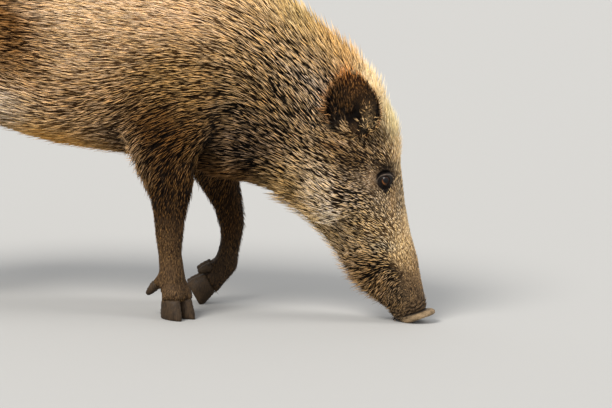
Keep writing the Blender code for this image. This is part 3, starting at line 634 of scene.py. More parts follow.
hairPlan = {
    "tipGain": 1.22,
    "lidGain": 1.2,                   # of the dark hair round the eyes
    "paintedCreaseShade": 0.6,               # painted shade: how much darker the hair is in the nose's folds
    "warmth": (0.20, -0.22, -0.58),   # how much redder the darkest roots are
    "guards": 0.44,                   # share of pale guard hairs where the roots are dark
    "guardRise": 0.6,                 # and how much it grows with the roots' lightness
}


def toLight(colours):
    # colours as seen to colours as light
    colours = np.clip(colours, 0, 1)
    return np.where(colours <= 0.04045, colours / 12.92, ((colours + 0.055) / 1.055) ** 2.4)


def storeTint(mesh, name, colours):
    storeValues(mesh, name, "FLOAT_COLOR", np.hstack([colours, np.ones((len(colours), 1))]))


def paintSpots(tone, spots, first, second):
    for x, y, wide, high, colour, root in spots.values():
        share = np.exp(-(((first - x) / wide) ** 2) - ((second - y) / high) ** 2)[:, None]
        tone = blend(tone, np.array((*colour, root)), share)
    return tone


def paintEars(points, normals, tone):
    mask = smoothStep(0.1, 0.6, earMask(points))
    for side in sides:
        inside = paintSpots(np.zeros((len(points), 4)), earTones, *earPlace(points, side))
        inner = smoothStep(-0.1, 0.25, normals @ earOutward(side))
        here = mask * (side * points[:, 1] > 0.05)
        tone = blend(tone, blend(np.array(earBack), inside, inner[:, None]), here[:, None])
    return tone


def eyeShades(points, plan):
    # 1 on the dark skin and short hair round each eye, drawn to a point towards the snout,
    # and how lit each place is on the fold round the lids, for a painted highlight there
    dark, lit = np.zeros(len(points)), np.zeros(len(points))
    for side in sides:
        _, x, y, far = byEye(points, side)
        reach = np.where(x > 0, plan["darkFront"], plan["darkBack"])
        share = np.clip(np.abs(x) / reach, 0, 1)
        arch = np.where(x > 0, 1 - share ** 1.4, np.sqrt(1 - share ** 2))
        gap = np.abs(y) - plan["darkHalf"] * arch + np.clip(np.abs(x) - reach, 0, None)
        near = far < plan["eyeReach"]
        dark = np.maximum(dark, near * (1 - smoothStep(-0.0015, 0.0030, gap)))
        lit = np.maximum(lit, near * bump(lidRing(x, y), 1.10, 0.11) * (1 - smoothStep(-0.002, 0.007, x)))
    return dark[:, None], lit[:, None]


def bareMask(points):
    # 1 where no hair grows: snout disc, between the lids and on their rims
    bare = 1 - smoothStep(0.0, 0.0025, overDisc(points) - facePlan["discTop"])
    bare *= points[:, 0] > 0.41
    for side in sides:
        h, x, y, far = byEye(points, side)
        behind = 1 - smoothStep(1.25, 1.60, lidRing(x, y))
        ahead = 1 - smoothStep(0.0045, 0.0075, lidOpening(x, y))
        bare = np.maximum(bare, ((h > -0.004) & (far < 0.03)) * np.where(x < 0, behind, ahead))
    return bare


def combEars(points, lie, length):
    # the ears' hair points outward at the rims and up inside; it is short and curls on the front wall
    ear = smoothStep(0.1, 0.5, earMask(points))
    curlRandom = np.random.default_rng(6)
    for side in sides:
        across, up = earPlace(points, side)
        share = ear * (np.where(points[:, 1] < 0, -1, 1) == side)
        rim = smoothStep(0.30, 0.47, np.hypot(across - 0.5, up - 0.5))
        curls = bump(across, 0.80, 0.18) * bump(up, 0.20, 0.32)
        outward = np.stack([np.minimum(across - 0.5, 0.06), 0 * across, np.maximum(up - 0.35, 0.0)], axis=1)
        swept = blend(np.array((-0.05, 0, 0.35)), outward, rim[:, None])
        swept += curls[:, None] * curlRandom.normal(size=points.shape) * earPlan["curls"]
        lie = blend(lie, swept, share[:, None])
        length = length * (1 + (0.05 * rim * (1 - curls) - 0.25 * curls) * share)
    return lie, length


def combCoat(mesh, plan):
    # writes the coat's lie, length, lift, width and colours on the skin's own points
    points, normals = readPoints(mesh), readNormals(mesh)
    table = {}
    for name, (x, y, z, lie, length, lift, width) in coatLie.items():
        turn = math.radians(lie)
        table[name] = (x, y, z, -math.cos(turn), math.sin(turn), length, lift, width)
    back, rise, length, lift, width = spread(points, table, softness=0.012).T
    parting = np.where(points[:, 1] < 0, -1.0, 1.0) * 0.35 * smoothStep(0.3, 1.0, normals[:, 2])
    parting = parting * smoothStep(0.01, 0.05, np.abs(points[:, 1]))         # the back's hair leans outward
    lie, length = combEars(points, np.stack([back, parting, rise], axis=1), length)
    lie -= normals * np.sum(lie * normals, axis=1)[:, None]
    lie /= np.linalg.norm(lie, axis=1)[:, None] + 0.000001
    storeValues(mesh, "lie", "FLOAT_VECTOR", lie)
    storeValues(mesh, "coatLength", "FLOAT", length)
    storeValues(mesh, "coatWidth", "FLOAT", width)
    steep = np.clip(0.85 * coatDepth(points) / length + 0.08, 0.02, 0.9)     # tips reach the solids' outline
    storeValues(mesh, "coatLift", "FLOAT", np.maximum(np.arcsin(steep), np.radians(lift)))
    bare = bareMask(points)
    storeValues(mesh, "bare", "FLOAT", bare)
    storeValues(mesh, "density", "FLOAT", 1 - bare)
    storeValues(mesh, "furShown", "FLOAT", 0.06 + 0.36 * (1 - smoothStep(0.008, 0.014, length)))

    dark, lit = eyeShades(points, facePlan)
    lids = np.array(bareTones["lids"])
    atEye = np.minimum(*(byEye(points, side)[3] for side in sides)) < facePlan["eyeReach"]
    # painted highlight: the lid skin is painted paler where the fold round the lids is lit
    lidTintsHighlighted = blend(lids, np.array(bareTones["lidFold"]), lit)
    storeTint(mesh, "bareTint", toLight(np.where(atEye[:, None], lidTintsHighlighted, np.array(bareTones["snout"]))))
    tone = spread(points, coatTones, softness=0.015)
    tone = paintSpots(tone, faceTones, points[:, 0], points[:, 2])
    tone = paintEars(points, normals, tone)
    # painted highlight: the lit fold round the lids lightens the dark hair there
    tone = blend(tone, np.array((*lids, 0.3)) * plan["lidGain"], dark * (1 - 0.6 * lit))
    # painted shade: the hair is darker the deeper the nose's folds are
    crease = np.clip(-noseFolds(points, facePlan) / 0.0012, 0, 1)[:, None]
    tone[:, :3] *= 1 - plan["paintedCreaseShade"] * crease
    root = np.clip(tone[:, 3:], 0, 1)
    tips = toLight(tone[:, :3]) * plan["tipGain"]
    warm = 1 + np.array(plan["warmth"]) * (1 - root) ** 1.4
    storeTint(mesh, "tipTint", tips)
    # the roots are the hairs' own dark bases, darkened further as painted shade in the gaps between hairs
    storeTint(mesh, "rootTint", tips * root ** 1.6 * warm)
    storeValues(mesh, "guardShare", "FLOAT", plan["guards"] + plan["guardRise"] * tone[:, 3])
    print("coat combed")


combCoat(skin.data, hairPlan)


class Wire:
    # an output in a node tree; + - * / on it add the Math or Vector Math nodes that work it out
    def __init__(self, socket):
        self.socket = socket
        self.tree = socket.id_data

    def beside(self, name):
        # another output of the same node
        return Wire(self.socket.node.outputs[name])

    __add__ = __radd__ = lambda self, other: calc("ADD", self, other)
    __mul__ = __rmul__ = lambda self, other: calc("MULTIPLY", self, other)
    __sub__ = lambda self, other: calc("SUBTRACT", self, other)
    __rsub__ = lambda self, other: calc("SUBTRACT", other, self)
    __truediv__ = lambda self, other: calc("DIVIDE", self, other)
    __rtruediv__ = lambda self, other: calc("DIVIDE", other, self)


def feed(socket, value):
    if isinstance(value, Wire):
        value.tree.links.new(value.socket, socket)
    else:
        socket.default_value = value


def inputOf(node, key):
    # an input by its place, or the one in use that has this name
    if isinstance(key, int):
        return node.inputs[key]
    return next(socket for socket in node.inputs if socket.name == key and socket.enabled)


def put(tree, kind, inputs=None, output=None, **settings):
    # adds a node and gives one of its outputs: the named one, or the first in use
    node = tree.nodes.new(kind)
    for name, value in settings.items():
        setattr(node, name, value)
    for key, value in (inputs or {}).items():
        feed(inputOf(node, key), value)
    return Wire(node.outputs[output] if output else next(socket for socket in node.outputs if socket.enabled))


def isVector(value):
    return value.socket.type in ("VECTOR", "RGBA") if isinstance(value, Wire) else isinstance(value, tuple)


def calc(operation, *values):
    tree = next(value.tree for value in values if isinstance(value, Wire))
    if not any(isVector(value) for value in values):
        return put(tree, "ShaderNodeMath", dict(enumerate(values)), operation=operation)
    if operation == "MULTIPLY" and not isVector(values[1]):
        return put(tree, "ShaderNodeVectorMath", {0: values[0], "Scale": values[1]}, operation="SCALE")
    return put(tree, "ShaderNodeVectorMath", dict(enumerate(values)), operation=operation)


def xyz(tree, x, y, z):
    return put(tree, "ShaderNodeCombineXYZ", {"X": x, "Y": y, "Z": z})


def rangeOf(value, low, high, newLow=0.0, newHigh=1.0):
    return put(value.tree, "ShaderNodeMapRange", {"Value": value, "From Min": low, "From Max": high,
                                                  "To Min": newLow, "To Max": newHigh},
               interpolation_type="SMOOTHSTEP")


def mixOf(share, one, other, kind="RGBA"):
    return put(share.tree, "ShaderNodeMix", {"Factor": share, "A": one, "B": other}, data_type=kind)


def rampOf(value, stops):
    ramp = put(value.tree, "ShaderNodeValToRGB", {"Fac": value}, "Color")
    elements = ramp.socket.node.color_ramp.elements
    while len(elements) < len(stops):
        elements.new(0.5)
    for element, (place, colour) in zip(elements, stops):
        element.position = place
        element.color = (*colour, 1)
    return ramp


def reliefOf(height, strength, distance):
    return put(height.tree, "ShaderNodeBump", {"Strength": strength, "Distance": distance, "Height": height})


def noiseAt(place, scale, detail=1.0):
    return put(place.tree, "ShaderNodeTexNoise", {"Vector": place, "Scale": scale, "Detail": detail}, "Fac")


def laidOut(place, lie, sideways, long, wide, cell):
    # the place in steps along the lie and aside of it, in cells that each have their own origin;
    # and the steps aside alone
    cells = put(place.tree, "ShaderNodeTexVoronoi", {"Vector": place, "Scale": 1 / cell}, feature="F1")
    local = place - cells.beside("Position")
    aside = calc("DOT_PRODUCT", local, sideways) / wide
    steps = xyz(place.tree, calc("DOT_PRODUCT", local, lie) / long, aside, 0.0)
    return steps + cells.beside("Color") * 37.0, aside


def addSockets(tree, inputs, outputs):
    # inputs: (name, kind, default); outputs: (name, kind)
    for name, kind, default in inputs:
        socket = tree.interface.new_socket(name, in_out="INPUT", socket_type="NodeSocket" + kind)
        if default is not None:
            socket.default_value = default
    for name, kind in outputs:
        tree.interface.new_socket(name, in_out="OUTPUT", socket_type="NodeSocket" + kind)
    given = tree.nodes.new("NodeGroupInput").outputs
    return {name: Wire(given[name]) for name, _, _ in inputs}, tree.nodes.new("NodeGroupOutput").inputs


def store(geometry, name, kind, value, domain="POINT"):
    return put(geometry.tree, "GeometryNodeStoreNamedAttribute",
               {"Geometry": geometry, "Name": name, "Value": value}, data_type=kind, domain=domain)


def buildTuftTree():
    tree = bpy.data.node_groups.new("coatTufts", "GeometryNodeTree")
    given, result = addSockets(tree, [
        ("Geometry", "Geometry", None), ("Spacing", "Float", 0.0027), ("Length", "Float", 1.0),
        ("Width", "Float", 0.70), ("Thickness", "Float", 0.035), ("Bend", "Float", 0.08),
        ("Ruffle", "Float", 0.08), ("Clumping", "Float", 0.12), ("Sink", "Float", 0.0006),
        ("Guard Share", "Float", 1.0), ("Streaks", "Float", 0.32), ("Strand", "Float", 2.9),
        ("Lift", "Float", 0.0), ("Rings", "Int", 2), ("Patch", "Float", 0.003), ("Seed", "Int", 1),
        ("Material", "Material", None)], [("Geometry", "Geometry")])

    def named(name, kind="FLOAT"):
        return put(tree, "GeometryNodeInputNamedAttribute", {"Name": name}, data_type=kind)

    def random(low, high, number):
        return put(tree, "FunctionNodeRandomValue", {"Min": low, "Max": high, "Seed": given["Seed"] + number},
                   data_type="FLOAT")

    # one closed tuft: along +Z, flat across X, curving towards -Y, widest past the middle
    cone = put(tree, "GeometryNodeMeshCone", {"Vertices": 3, "Side Segments": given["Rings"], "Depth": 1.0,
                                              "Radius Top": 0.0, "Radius Bottom": 0.5}, fill_type="NGON")
    x = put(tree, "ShaderNodeSeparateXYZ", {0: put(tree, "GeometryNodeInputPosition")})
    y, z = x.beside("Y"), x.beside("Z")
    swell = z * 2.6 + 0.7
    along = calc("POWER", z, 0.62)
    across = x * swell
    curl = calc("POWER", along, 2.0) * given["Bend"]
    shaped = xyz(tree, across, y * swell * given["Thickness"] - curl, along)
    tuft = store(store(cone, "along", "FLOAT", along), "across", "FLOAT", across)
    tuft = put(tree, "GeometryNodeSetPosition", {"Geometry": tuft, "Position": shaped})
    tuft = put(tree, "GeometryNodeSetShadeSmooth", {"Geometry": tuft, "Shade Smooth": True})

    # roots, and the way each tuft is swept
    roots = put(tree, "GeometryNodeDistributePointsOnFaces", {
        "Mesh": given["Geometry"], "Distance Min": given["Spacing"], "Density Max": 900000.0,
        "Density Factor": named("density"), "Seed": given["Seed"]}, distribute_method="POISSON")
    normal = roots.beside("Normal")
    spot = put(tree, "GeometryNodeInputPosition")
    lie = named("lie", "FLOAT_VECTOR")
    sideways = calc("CROSS_PRODUCT", normal, lie)
    drift = (noiseAt(spot, 60.0) - 0.5) * given["Clumping"]
    drift = drift + (noiseAt(spot + (0.31, 0.17, 0.53), 210.0) - 0.5) * given["Clumping"]
    turn = drift * 4.0 + random(given["Ruffle"] * -1.0, given["Ruffle"], 11)
    swept = calc("NORMALIZE", lie + sideways * turn)

    # pale guard hairs lie over a darker, shorter undercoat, in strands set by where each hair's tip lies
    reach = named("coatLength") * 0.75
    tipSpot = spot + swept * reach
    steps, aside = laidOut(tipSpot, lie, sideways, reach * 0.6, named("coatWidth") * given["Strand"], 0.03)
    strand = calc("SINE", (aside + noiseAt(steps, 1.0) * 2.5) * (2 * math.pi))
    chance = random(0.30, 0.70, 15) + strand * given["Streaks"]
    guard = calc("LESS_THAN", chance, given["Guard Share"] * named("guardShare"))
    lift = (named("coatLift") + random(-0.06, 0.08, 12)) * (guard * 0.39 + 0.66) + given["Lift"]
    lift = calc("MAXIMUM", lift, given["Bend"] + 0.075)
    heading = swept * calc("COSINE", lift) + normal * calc("SINE", lift)
    turned = put(tree, "FunctionNodeAxesToRotation", {"Primary Axis": heading, "Secondary Axis": normal},
                 primary_axis="Z", secondary_axis="Y")
    length = named("coatLength") * given["Length"] * random(0.72, 1.15, 13) * (guard * 0.40 + 0.74)
    width = named("coatWidth") * given["Width"] * random(0.7, 1.25, 14) * (1.10 - guard * 0.24)
    points = store(roots, "shade", "FLOAT", random(0.0, 0.42, 16) + guard * 0.55)
    points = put(tree, "GeometryNodeSetPosition", {"Geometry": points,
                                                   "Offset": normal * (given["Sink"] * -1.0)})
    placed = put(tree, "GeometryNodeInstanceOnPoints", {
        "Points": points, "Instance": tuft, "Rotation": turned, "Scale": xyz(tree, width, length, length)})
    mesh = put(tree, "GeometryNodeRealizeInstances", {"Geometry": placed})

    # each tuft is a small patch at its root's own place
    patch = xyz(tree, named("across"), named("along"), 0.0) * given["Patch"]
    mesh = store(mesh, "OFBake", "FLOAT2", named("rootPlace", "FLOAT_VECTOR") + patch, "CORNER")
    for name in ("rootPlace", "lie", "coatLength", "coatLift", "coatWidth", "density", "guardShare",
                 "bare", "bareTint", "furShown"):
        mesh = put(tree, "GeometryNodeRemoveAttribute", {"Geometry": mesh, "Name": name})
    mesh = put(tree, "GeometryNodeSetMaterial", {"Geometry": mesh, "Material": given["Material"]})
    feed(result["Geometry"], mesh)
    return tree


coatPlan = {       # every piece of the coat: its inputs to the tuft tree
    "coat_back": {"Spacing": 0.0020, "Seed": 3},
    "coat_side_right": {"Spacing": 0.0017, "Seed": 5},
    "coat_side_left": {"Spacing": 0.0022, "Seed": 7},
    "coat_belly": {"Spacing": 0.0025, "Seed": 9},
    "coat_quarter_right": {"Spacing": 0.0021, "Seed": 11},
    "coat_quarter_left": {"Spacing": 0.0023, "Seed": 13},
    "coat_neck": {"Spacing": 0.0017, "Seed": 15, "Width": 0.85},
    "coat_head_right": {"Spacing": 0.00145, "Seed": 17, "Width": 0.85},
    "coat_head_left": {"Spacing": 0.0019, "Seed": 19, "Width": 0.95},
    "coat_ears": {"Spacing": 0.0015, "Seed": 21, "Width": 0.85, "Ruffle": 0.25},
    "coat_forelegs": {"Spacing": 0.0019, "Seed": 23},
    "coat_hindlegs": {"Spacing": 0.0022, "Seed": 25},
    "coat_tail": {"Spacing": 0.0022, "Seed": 27},
}
bristlePlan = {    # long single hairs that stand over the coat, every one a guard hair
    "bristles_crest": {"Spacing": 0.0036, "Seed": 41, "Length": 1.25, "Width": 0.50, "Lift": 0.16,
                       "Guard Share": 12.0, "Ruffle": 0.28, "Thickness": 0.02, "Bend": 0.05},
    "bristles_body": {"Spacing": 0.0082, "Seed": 43, "Length": 1.15, "Width": 0.65, "Lift": 0.10,
                      "Guard Share": 12.0, "Ruffle": 0.25, "Thickness": 0.02},
    "bristles_jaw": {"Spacing": 0.0042, "Seed": 45, "Length": 1.30, "Width": 0.60, "Lift": 0.30,
                     "Guard Share": 12.0, "Ruffle": 0.35, "Thickness": 0.02},
    "bristles_lips": {"Spacing": 0.0036, "Seed": 47, "Length": 1.20, "Width": 0.70, "Lift": 0.16,
                      "Guard Share": 12.0, "Ruffle": 0.30, "Thickness": 0.03},
}
regionPlan = {     # where the pieces of the coat meet
    "backFrom": 0.485,        # in Z
    "bellyTo": 0.3,
    "forelegTop": 0.245,
    "hindlegTop": 0.262,
    "quarterTo": -0.215,      # in X
    "neckFrom": 0.165,
    "forelegs": (-0.04, 0.225),
    "tailFrom": -0.448,
}
floorGap = 0.0003             # no hair reaches lower than this


def coatRegions(points, normals, plan):
    x, y, z = points.T
    region = np.full(len(points), "coat_side_left", dtype="U24")
    region[y < 0] = "coat_side_right"
    region[(z > plan["backFrom"]) | ((normals[:, 2] > 0.75) & (z > 0.4))] = "coat_back"
    region[(normals[:, 2] < -0.55) & (z < plan["bellyTo"])] = "coat_belly"
    quarter = x < plan["quarterTo"]
    region[quarter & (y < 0)] = "coat_quarter_right"
    region[quarter & (y >= 0)] = "coat_quarter_left"
    region[x > plan["neckFrom"]] = "coat_neck"
    rear, front = plan["forelegs"]
    region[(z < plan["forelegTop"]) & (x > rear) & (x < front) & (np.abs(y) > 0.032)] = "coat_forelegs"
    region[(z < plan["hindlegTop"]) & quarter] = "coat_hindlegs"
    head = headMask(points) > 0.5
    region[head & (y < 0)] = "coat_head_right"
    region[head & (y >= 0)] = "coat_head_left"
    region[earMask(points) > 0.5] = "coat_ears"
    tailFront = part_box("tail")[1][0] - 0.004
    region[(x < tailFront) & (np.abs(y) < 0.034) & (x < plan["tailFrom"] - 0.02 * (z > 0.42))] = "coat_tail"
    return region


def bristleRegions(points, normals):
    x, y, z = points.T
    region = np.full(len(points), "none", dtype="U24")
    plain = earMask(points) < 0.2
    head = headMask(points) > 0.5
    region[plain & ~head & (z > 0.19) & ((np.abs(y) > 0.03) | (x > -0.43))] = "bristles_body"
    facing = normals[:, 2] * 0.6 + normals[:, 0] * 0.8         # up and ahead
    region[plain & (np.abs(y) < 0.05) & (x > 0.02) & (facing > 0.45) & (z > 0.25)] = "bristles_crest"
    jaw = plain & head & (facing < -0.15) & (z > 0.03)
    region[jaw] = "bristles_jaw"
    region[(x > 0.355) & (x < 0.412) & (z > 0.035) & (z < 0.105) & ~jaw] = "bristles_lips"
    return region


def patchOfSkin(name, chosen):
    # a copy of the skin with only the chosen faces, unwrapped
    bm = bmesh.new()
    bm.from_mesh(skin.data)
    bm.faces.ensure_lookup_table()
    gone = [face for face, keep in zip(bm.faces, chosen) if not keep]
    bmesh.ops.delete(bm, geom=gone, context="FACES")
    obj = addObject(name, meshFrom(bm, name))
    bpy.context.view_layer.objects.active = obj
    obj.select_set(True)
    bpy.ops.object.mode_set(mode="EDIT")
    bpy.ops.mesh.select_all(action="SELECT")
    bpy.ops.uv.smart_project(angle_limit=math.radians(66), island_margin=0.004)
    bpy.ops.object.mode_set(mode="OBJECT")
    obj.select_set(False)
    obj.data.uv_layers[0].name = "rootPlace"
    return obj


def growCoat(name, chosen, values, material):
    obj = patchOfSkin(name, chosen)
    modifier = obj.modifiers.new("tufts", "NODES")
    modifier.node_group = tuftTree
    for socket in tuftTree.interface.items_tree:
        if socket.in_out == "INPUT" and socket.name in values:
            modifier[socket.identifier] = values[socket.name]
        elif socket.in_out == "INPUT" and socket.name == "Material":
            modifier[socket.identifier] = material
    applyModifiers(obj)
    points = readPoints(obj.data)
    points[:, 2] = np.maximum(points[:, 2], floorGap)
    writePoints(obj.data, points)
    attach(obj, "root")
    print(name, "grown:", sum(len(face.vertices) - 2 for face in obj.data.polygons), "triangles")


def newMaterial(name, values):
    material = bpy.data.materials.new(name)
    material.use_nodes = True
    shader = material.node_tree.nodes["Principled BSDF"]
    for key, value in values.items():
        shader.inputs[key].default_value = value
    return material, material.node_tree, shader.inputs


def valueOf(tree, name, output="Fac"):
    return put(tree, "ShaderNodeAttribute", {}, output, attribute_name=name)


def hairTone():
    # a hair's colour from its tints, the place along it, and shade: under 0.5 undercoat, over it guard hair
    tree = bpy.data.node_groups.new("hairTone", "ShaderNodeTree")
    given, result = addSockets(tree, [
        ("Tip", "Color", (0.5, 0.4, 0.3, 1)), ("Root", "Color", (0.05, 0.04, 0.03, 1)),
        ("Along", "Float", 0.5), ("Shade", "Float", 0.5), ("Undercoat", "Float", 0.3)], [("Color", "Color")])
    guard = rangeOf(given["Shade"], 0.44, 0.54)
    ripe = rangeOf(given["Along"], 0.36, 0.62) * (given["Undercoat"] + guard * (1.0 - given["Undercoat"]))
    mixed = mixOf(ripe, given["Root"], given["Tip"])
    gain = rangeOf(calc("FRACT", given["Shade"] * 7.3), 0.0, 1.0, 0.38, 1.48)
    red = put(tree, "ShaderNodeSeparateColor", {0: mixed})
    gain = calc("MINIMUM", gain, 0.86 / calc("MAXIMUM", red, 0.01))      # no hair lighter than this
    greyed = calc("FRACT", given["Shade"] * 13.7)      # some hairs greyer, some redder
    hue = xyz(tree, 1.0, rangeOf(greyed, 0.0, 1.0, 0.94, 1.05), rangeOf(greyed, 0.0, 1.0, 0.78, 1.20))
    feed(result["Color"], hue * (mixed * gain))
    return tree


def makeCoatMaterial():
    material, tree, shader = newMaterial("boarCoat", {"Roughness": 0.60, "Specular IOR Level": 0.06})
    tone = {"Tip": valueOf(tree, "tipTint", "Color"), "Root": valueOf(tree, "rootTint", "Color"),
            "Along": valueOf(tree, "along"), "Shade": valueOf(tree, "shade"), "Undercoat": 0.012}
    feed(shader["Base Color"], put(tree, "ShaderNodeGroup", tone, node_tree=hairTone()))
    return material


def laidHair(cell):
    # short flat hairs along the lie, as a value about 0.5; the second layer covers the first one's cell edges
    tree = bpy.data.node_groups.new("laidHair", "ShaderNodeTree")
    given, result = addSockets(tree, [
        ("Place", "Vector", None), ("Lie", "Vector", None), ("Width", "Float", 0.0006),
        ("Length", "Float", 0.0060)], [("Hair", "Float")])
    normal = put(tree, "ShaderNodeNewGeometry", {}, "Normal")
    sideways = calc("NORMALIZE", calc("CROSS_PRODUCT", normal, given["Lie"]))
    layers = []
    for shift in ((0, 0, 0), (0.37, 0.11, 0.23)):
        place = given["Place"] + shift
        steps, _ = laidOut(place, given["Lie"], sideways, given["Length"], given["Width"], cell)
        layers.append(noiseAt(steps, 1.0, 2.0))
    edge = put(tree, "ShaderNodeTexVoronoi", {"Vector": given["Place"], "Scale": 1 / cell}, "Distance",
               feature="DISTANCE_TO_EDGE")
    share = rangeOf(edge, 0.02, 0.14)
    feed(result["Hair"], layers[0] * share + layers[1] * (1.0 - share))
    return tree


def makeSkinMaterial():
    material, tree, shader = newMaterial("boarSkin", {"Roughness": 0.70, "Specular IOR Level": 0.12})
    spot = put(tree, "ShaderNodeTexCoord", {}, "Object")
    bare = valueOf(tree, "bare")
    hair = {"Place": spot, "Lie": valueOf(tree, "lie", "Vector"), "Width": 0.0006, "Length": 0.0060}
    hair = put(tree, "ShaderNodeGroup", hair, node_tree=laidHair(0.016))
    # the skin under the coat shows the roots' colour, partly as painted shade between the hairs
    fur = mixOf(rangeOf(hair, 0.42, 0.62) * valueOf(tree, "furShown"),
                valueOf(tree, "rootTint", "Color"), valueOf(tree, "tipTint", "Color"))
    stains = rangeOf(noiseAt(spot, 110.0, 3.0), 0.35, 0.65, 0.62, 1.12)
    stains = stains * rangeOf(noiseAt(spot, 700.0, 3.0), 0.35, 0.65, 0.72, 1.10)
    feed(shader["Base Color"], mixOf(bare, fur, valueOf(tree, "bareTint", "Color") * stains))
    feed(shader["Normal"], reliefOf(mixOf(bare, hair, noiseAt(spot, 900.0, 3.0), "FLOAT"), 0.5, 0.001))
    return material


eyePlan = {
    "irisReach": 0.66,        # of the eye's radius, seen from in front
    "pupilReach": 0.34,
    "corneaRise": 0.0005,
    "inset": 0.0002,          # how much smaller than its solid the ball is
    # painted light: the iris is painted brighter towards this way
    "glowTowards": (-0.75, 0.0, -0.66),
}


def makeEyeMaterial(plan):
    material, tree, shader = newMaterial("boarEye", {"Roughness": 0.35, "Specular IOR Level": 0.2,
                                                     "Coat Weight": 0.10, "Coat Roughness": 0.18})
    away = valueOf(tree, "fromPupil")
    spokes = noiseAt(xyz(tree, away * 3.0, valueOf(tree, "spoke") * 14.0, 0.0), 1.0, 2.0)
    pupil, iris = plan["pupilReach"], plan["irisReach"]
    tint = rampOf(away, [(0.0, (0.004, 0.004, 0.005)), (pupil - 0.03, (0.005, 0.004, 0.004)),
                         (pupil + 0.03, (0.13, 0.046, 0.014)), (0.5, (0.19, 0.070, 0.020)),
                         (iris - 0.02, (0.04, 0.018, 0.008)), (iris + 0.04, (0.030, 0.020, 0.015))])
    glow = rangeOf(valueOf(tree, "glow"), 0.1, 1.0, 0.10, 1.9)      # painted light: the lower iris is painted brighter, as if light gathered there
    feed(shader["Base Color"], tint * (glow * rangeOf(spokes, 0.3, 0.7, 0.6, 1.4)))
    return material


def makeEye(side, plan, material):
    gaze, long, up = eyeAxes(side)
    radius = eyeRadius - plan["inset"]
    bm = bmesh.new()
    bmesh.ops.create_uvsphere(bm, u_segments=64, v_segments=40, radius=radius)
    mesh = meshFrom(bm, "eyeball_" + sides[side])
    points = readPoints(mesh)
    away = np.hypot(points[:, 0], points[:, 1]) / radius
    away = np.where(points[:, 2] > 0, away, 2 - away)
    axes = np.array([long, np.cross(gaze, long), gaze])
    lower = np.array(plan["glowTowards"]) / np.linalg.norm(plan["glowTowards"])
    storeValues(mesh, "fromPupil", "FLOAT", away)
    storeValues(mesh, "spoke", "FLOAT", np.arctan2(points[:, 1], points[:, 0]))
    storeValues(mesh, "glow", "FLOAT", (points @ axes @ lower) / (0.5 * radius))
    points *= 1 + (plan["corneaRise"] / radius) * (1 - smoothStep(0.3, 0.75, away))[:, None]
    writePoints(mesh, points @ axes + np.array(eyeMiddles[side]))
    mesh.shade_smooth()
    mesh.materials.append(material)
    eye = addObject("eyeball_" + sides[side], mesh)
    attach(eye, "root")
    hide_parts("eye_" + sides[side])


hornPlan = {
    "cuts": 3,
    "rounding": 5,            # rounds of smoothing that soften the edges
    "ringHeight": 0.00035,
    "ringStep": 0.0042,       # between growth rings
    "swell": 0.0009,          # makes up for what the rounding takes off
    "dark": (0.012, 0.0075, 0.0042),
    "pale": (0.052, 0.032, 0.017),
}


def makeHornMaterial(plan):
    material, tree, shader = newMaterial("boarHorn", {"Roughness": 0.60, "Specular IOR Level": 0.12})
    spot = put(tree, "ShaderNodeTexCoord", {}, "Object")
    grain = noiseAt(put(tree, "ShaderNodeMapping", {"Vector": spot, "Scale": (900.0, 900.0, 70.0)}), 1.0, 3.0)
    worn = noiseAt(spot, 160.0, 3.0)
    feed(shader["Base Color"], rampOf(grain * 0.6 + worn * 0.4, [(0.34, plan["dark"]), (0.68, plan["pale"])]))
    feed(shader["Roughness"], rangeOf(worn, 0.3, 0.7, 0.50, 0.75))
    feed(shader["Normal"], reliefOf(grain, 0.6, 0.0003))
    return material


def makeHorn(name, plan, material):
    bm = bmesh.new()
    bm.from_mesh(nodes[name].data)
    bmesh.ops.remove_doubles(bm, verts=bm.verts, dist=weldGap)
    bmesh.ops.subdivide_edges(bm, edges=bm.edges, cuts=plan["cuts"])
    bmesh.ops.triangulate(bm, faces=bm.faces)
    bmesh.ops.recalc_face_normals(bm, faces=bm.faces)
    horn = addObject(name + "_horn", meshFrom(bm, name + "_horn"))
    addSmoothing(horn, "soften", plan["rounding"])
    applyModifiers(horn)
    points, normals = readPoints(horn.data), readNormals(horn.data)
    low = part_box(name)[0][2]
    rise = points[:, 2] - low + 0.15 * (points[:, 0] - points[:, 0].mean())
    rings = np.sin(rise * 2 * math.pi / plan["ringStep"] + 0.8 * np.sin(points[:, 1] * 300))
    rings *= smoothStep(0.003, 0.007, points[:, 2] - low)
    points += normals * (plan["swell"] + plan["ringHeight"] * rings)[:, None]
    points[:, 2] = np.maximum(points[:, 2], low)
    writePoints(horn.data, points)
    horn.data.shade_smooth()
    horn.data.materials.append(material)
    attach(horn, "root")
    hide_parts(name)


eyeMaterial = makeEyeMaterial(eyePlan)
for side in sides:
    makeEye(side, eyePlan, eyeMaterial)
hornMaterial = makeHornMaterial(hornPlan)
for name in hornNodes:
    makeHorn(name, hornPlan, hornMaterial)
print("eyes and", len(hornNodes), "hooves and dewclaws made")

skin.data.materials.append(makeSkinMaterial())
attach(skin, "root")
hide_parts(*fleshNodes)

tuftTree = buildTuftTree()
coatMaterial = makeCoatMaterial()
skinMiddles = readTriples(skin.data.polygons, "center")
skinFacing = readTriples(skin.data.polygons, "normal")
for plan, regions in ((coatPlan, coatRegions(skinMiddles, skinFacing, regionPlan)),
                      (bristlePlan, bristleRegions(skinMiddles, skinFacing))):
    for pieceName, pieceValues in plan.items():
        growCoat(pieceName, regions == pieceName, pieceValues, coatMaterial)

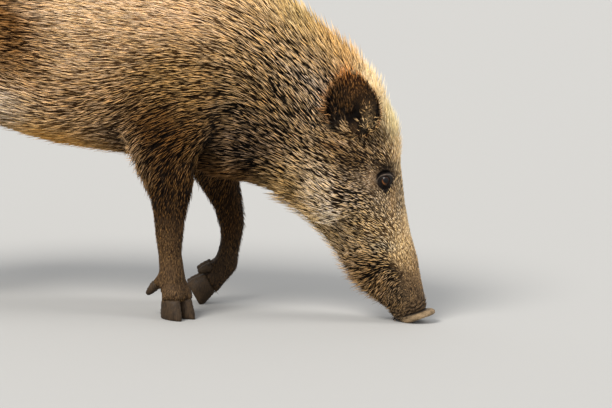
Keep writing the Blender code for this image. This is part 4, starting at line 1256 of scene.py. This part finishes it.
cameraPlan = {
    "target": (0.274, 0.0, 0.173),
    "distance": 6.5,
    "elevation": 8.0,
    "roll": 2.97,
    "frameWidth": 0.9364,     # metres across the frame at the boar's mid plane
}
lightPlan = {                 # name: (direction it comes from, softness in degrees, strength, colour)
    "key": ((-0.40, -0.66, 0.70), 24, 5.2, (1.0, 0.97, 0.92)),
    "rim": ((0.75, 0.05, 0.66), 30, 1.8, (1.0, 0.98, 0.95)),
}
skyPlan = {"colour": (0.93, 0.96, 1.0, 1), "strength": 0.98}
floorPlan = {"colour": (0.27, 0.265, 0.255, 1), "reach": 60.0}


def placeCamera(plan):
    lens = bpy.data.cameras.new("camera")
    lens.sensor_width = 36
    lens.lens = lens.sensor_width * plan["distance"] / plan["frameWidth"]
    lens.clip_end = 100
    camera = addObject("camera", lens)
    rise = math.radians(plan["elevation"])
    back = Vector((0, -math.cos(rise), math.sin(rise)))
    turn = (-back).to_track_quat("-Z", "Y").to_matrix().to_4x4()
    spin = Matrix.Rotation(math.radians(plan["roll"]), 4, "Z")
    camera.matrix_world = Matrix.Translation(Vector(plan["target"]) + back * plan["distance"]) @ turn @ spin
    bpy.context.scene.camera = camera


def placeLights(lights, sky):
    for name, (direction, softness, strength, colour) in lights.items():
        light = bpy.data.lights.new(name, "SUN")
        light.angle = math.radians(softness)
        light.energy = strength
        light.color = colour
        obj = addObject(name, light)
        obj.matrix_world = Vector(direction).to_track_quat("Z", "Y").to_matrix().to_4x4()
    world = bpy.data.worlds.new("studio")
    world.use_nodes = True
    glow = world.node_tree.nodes["Background"].inputs
    glow["Color"].default_value = sky["colour"]
    glow["Strength"].default_value = sky["strength"]
    bpy.context.scene.world = world
    bpy.context.scene.view_settings.view_transform = "Standard"


def layFloor(plan):
    bm = bmesh.new()
    bmesh.ops.create_grid(bm, x_segments=1, y_segments=1, size=plan["reach"])
    floor = addObject("floor", meshFrom(bm, "floor"))
    paint, _, _ = newMaterial("floorPaint", {"Base Color": plan["colour"], "Roughness": 0.9})
    floor.data.materials.append(paint)


placeCamera(cameraPlan)
placeLights(lightPlan, skyPlan)
layFloor(floorPlan)
print("camera, lights and floor placed")
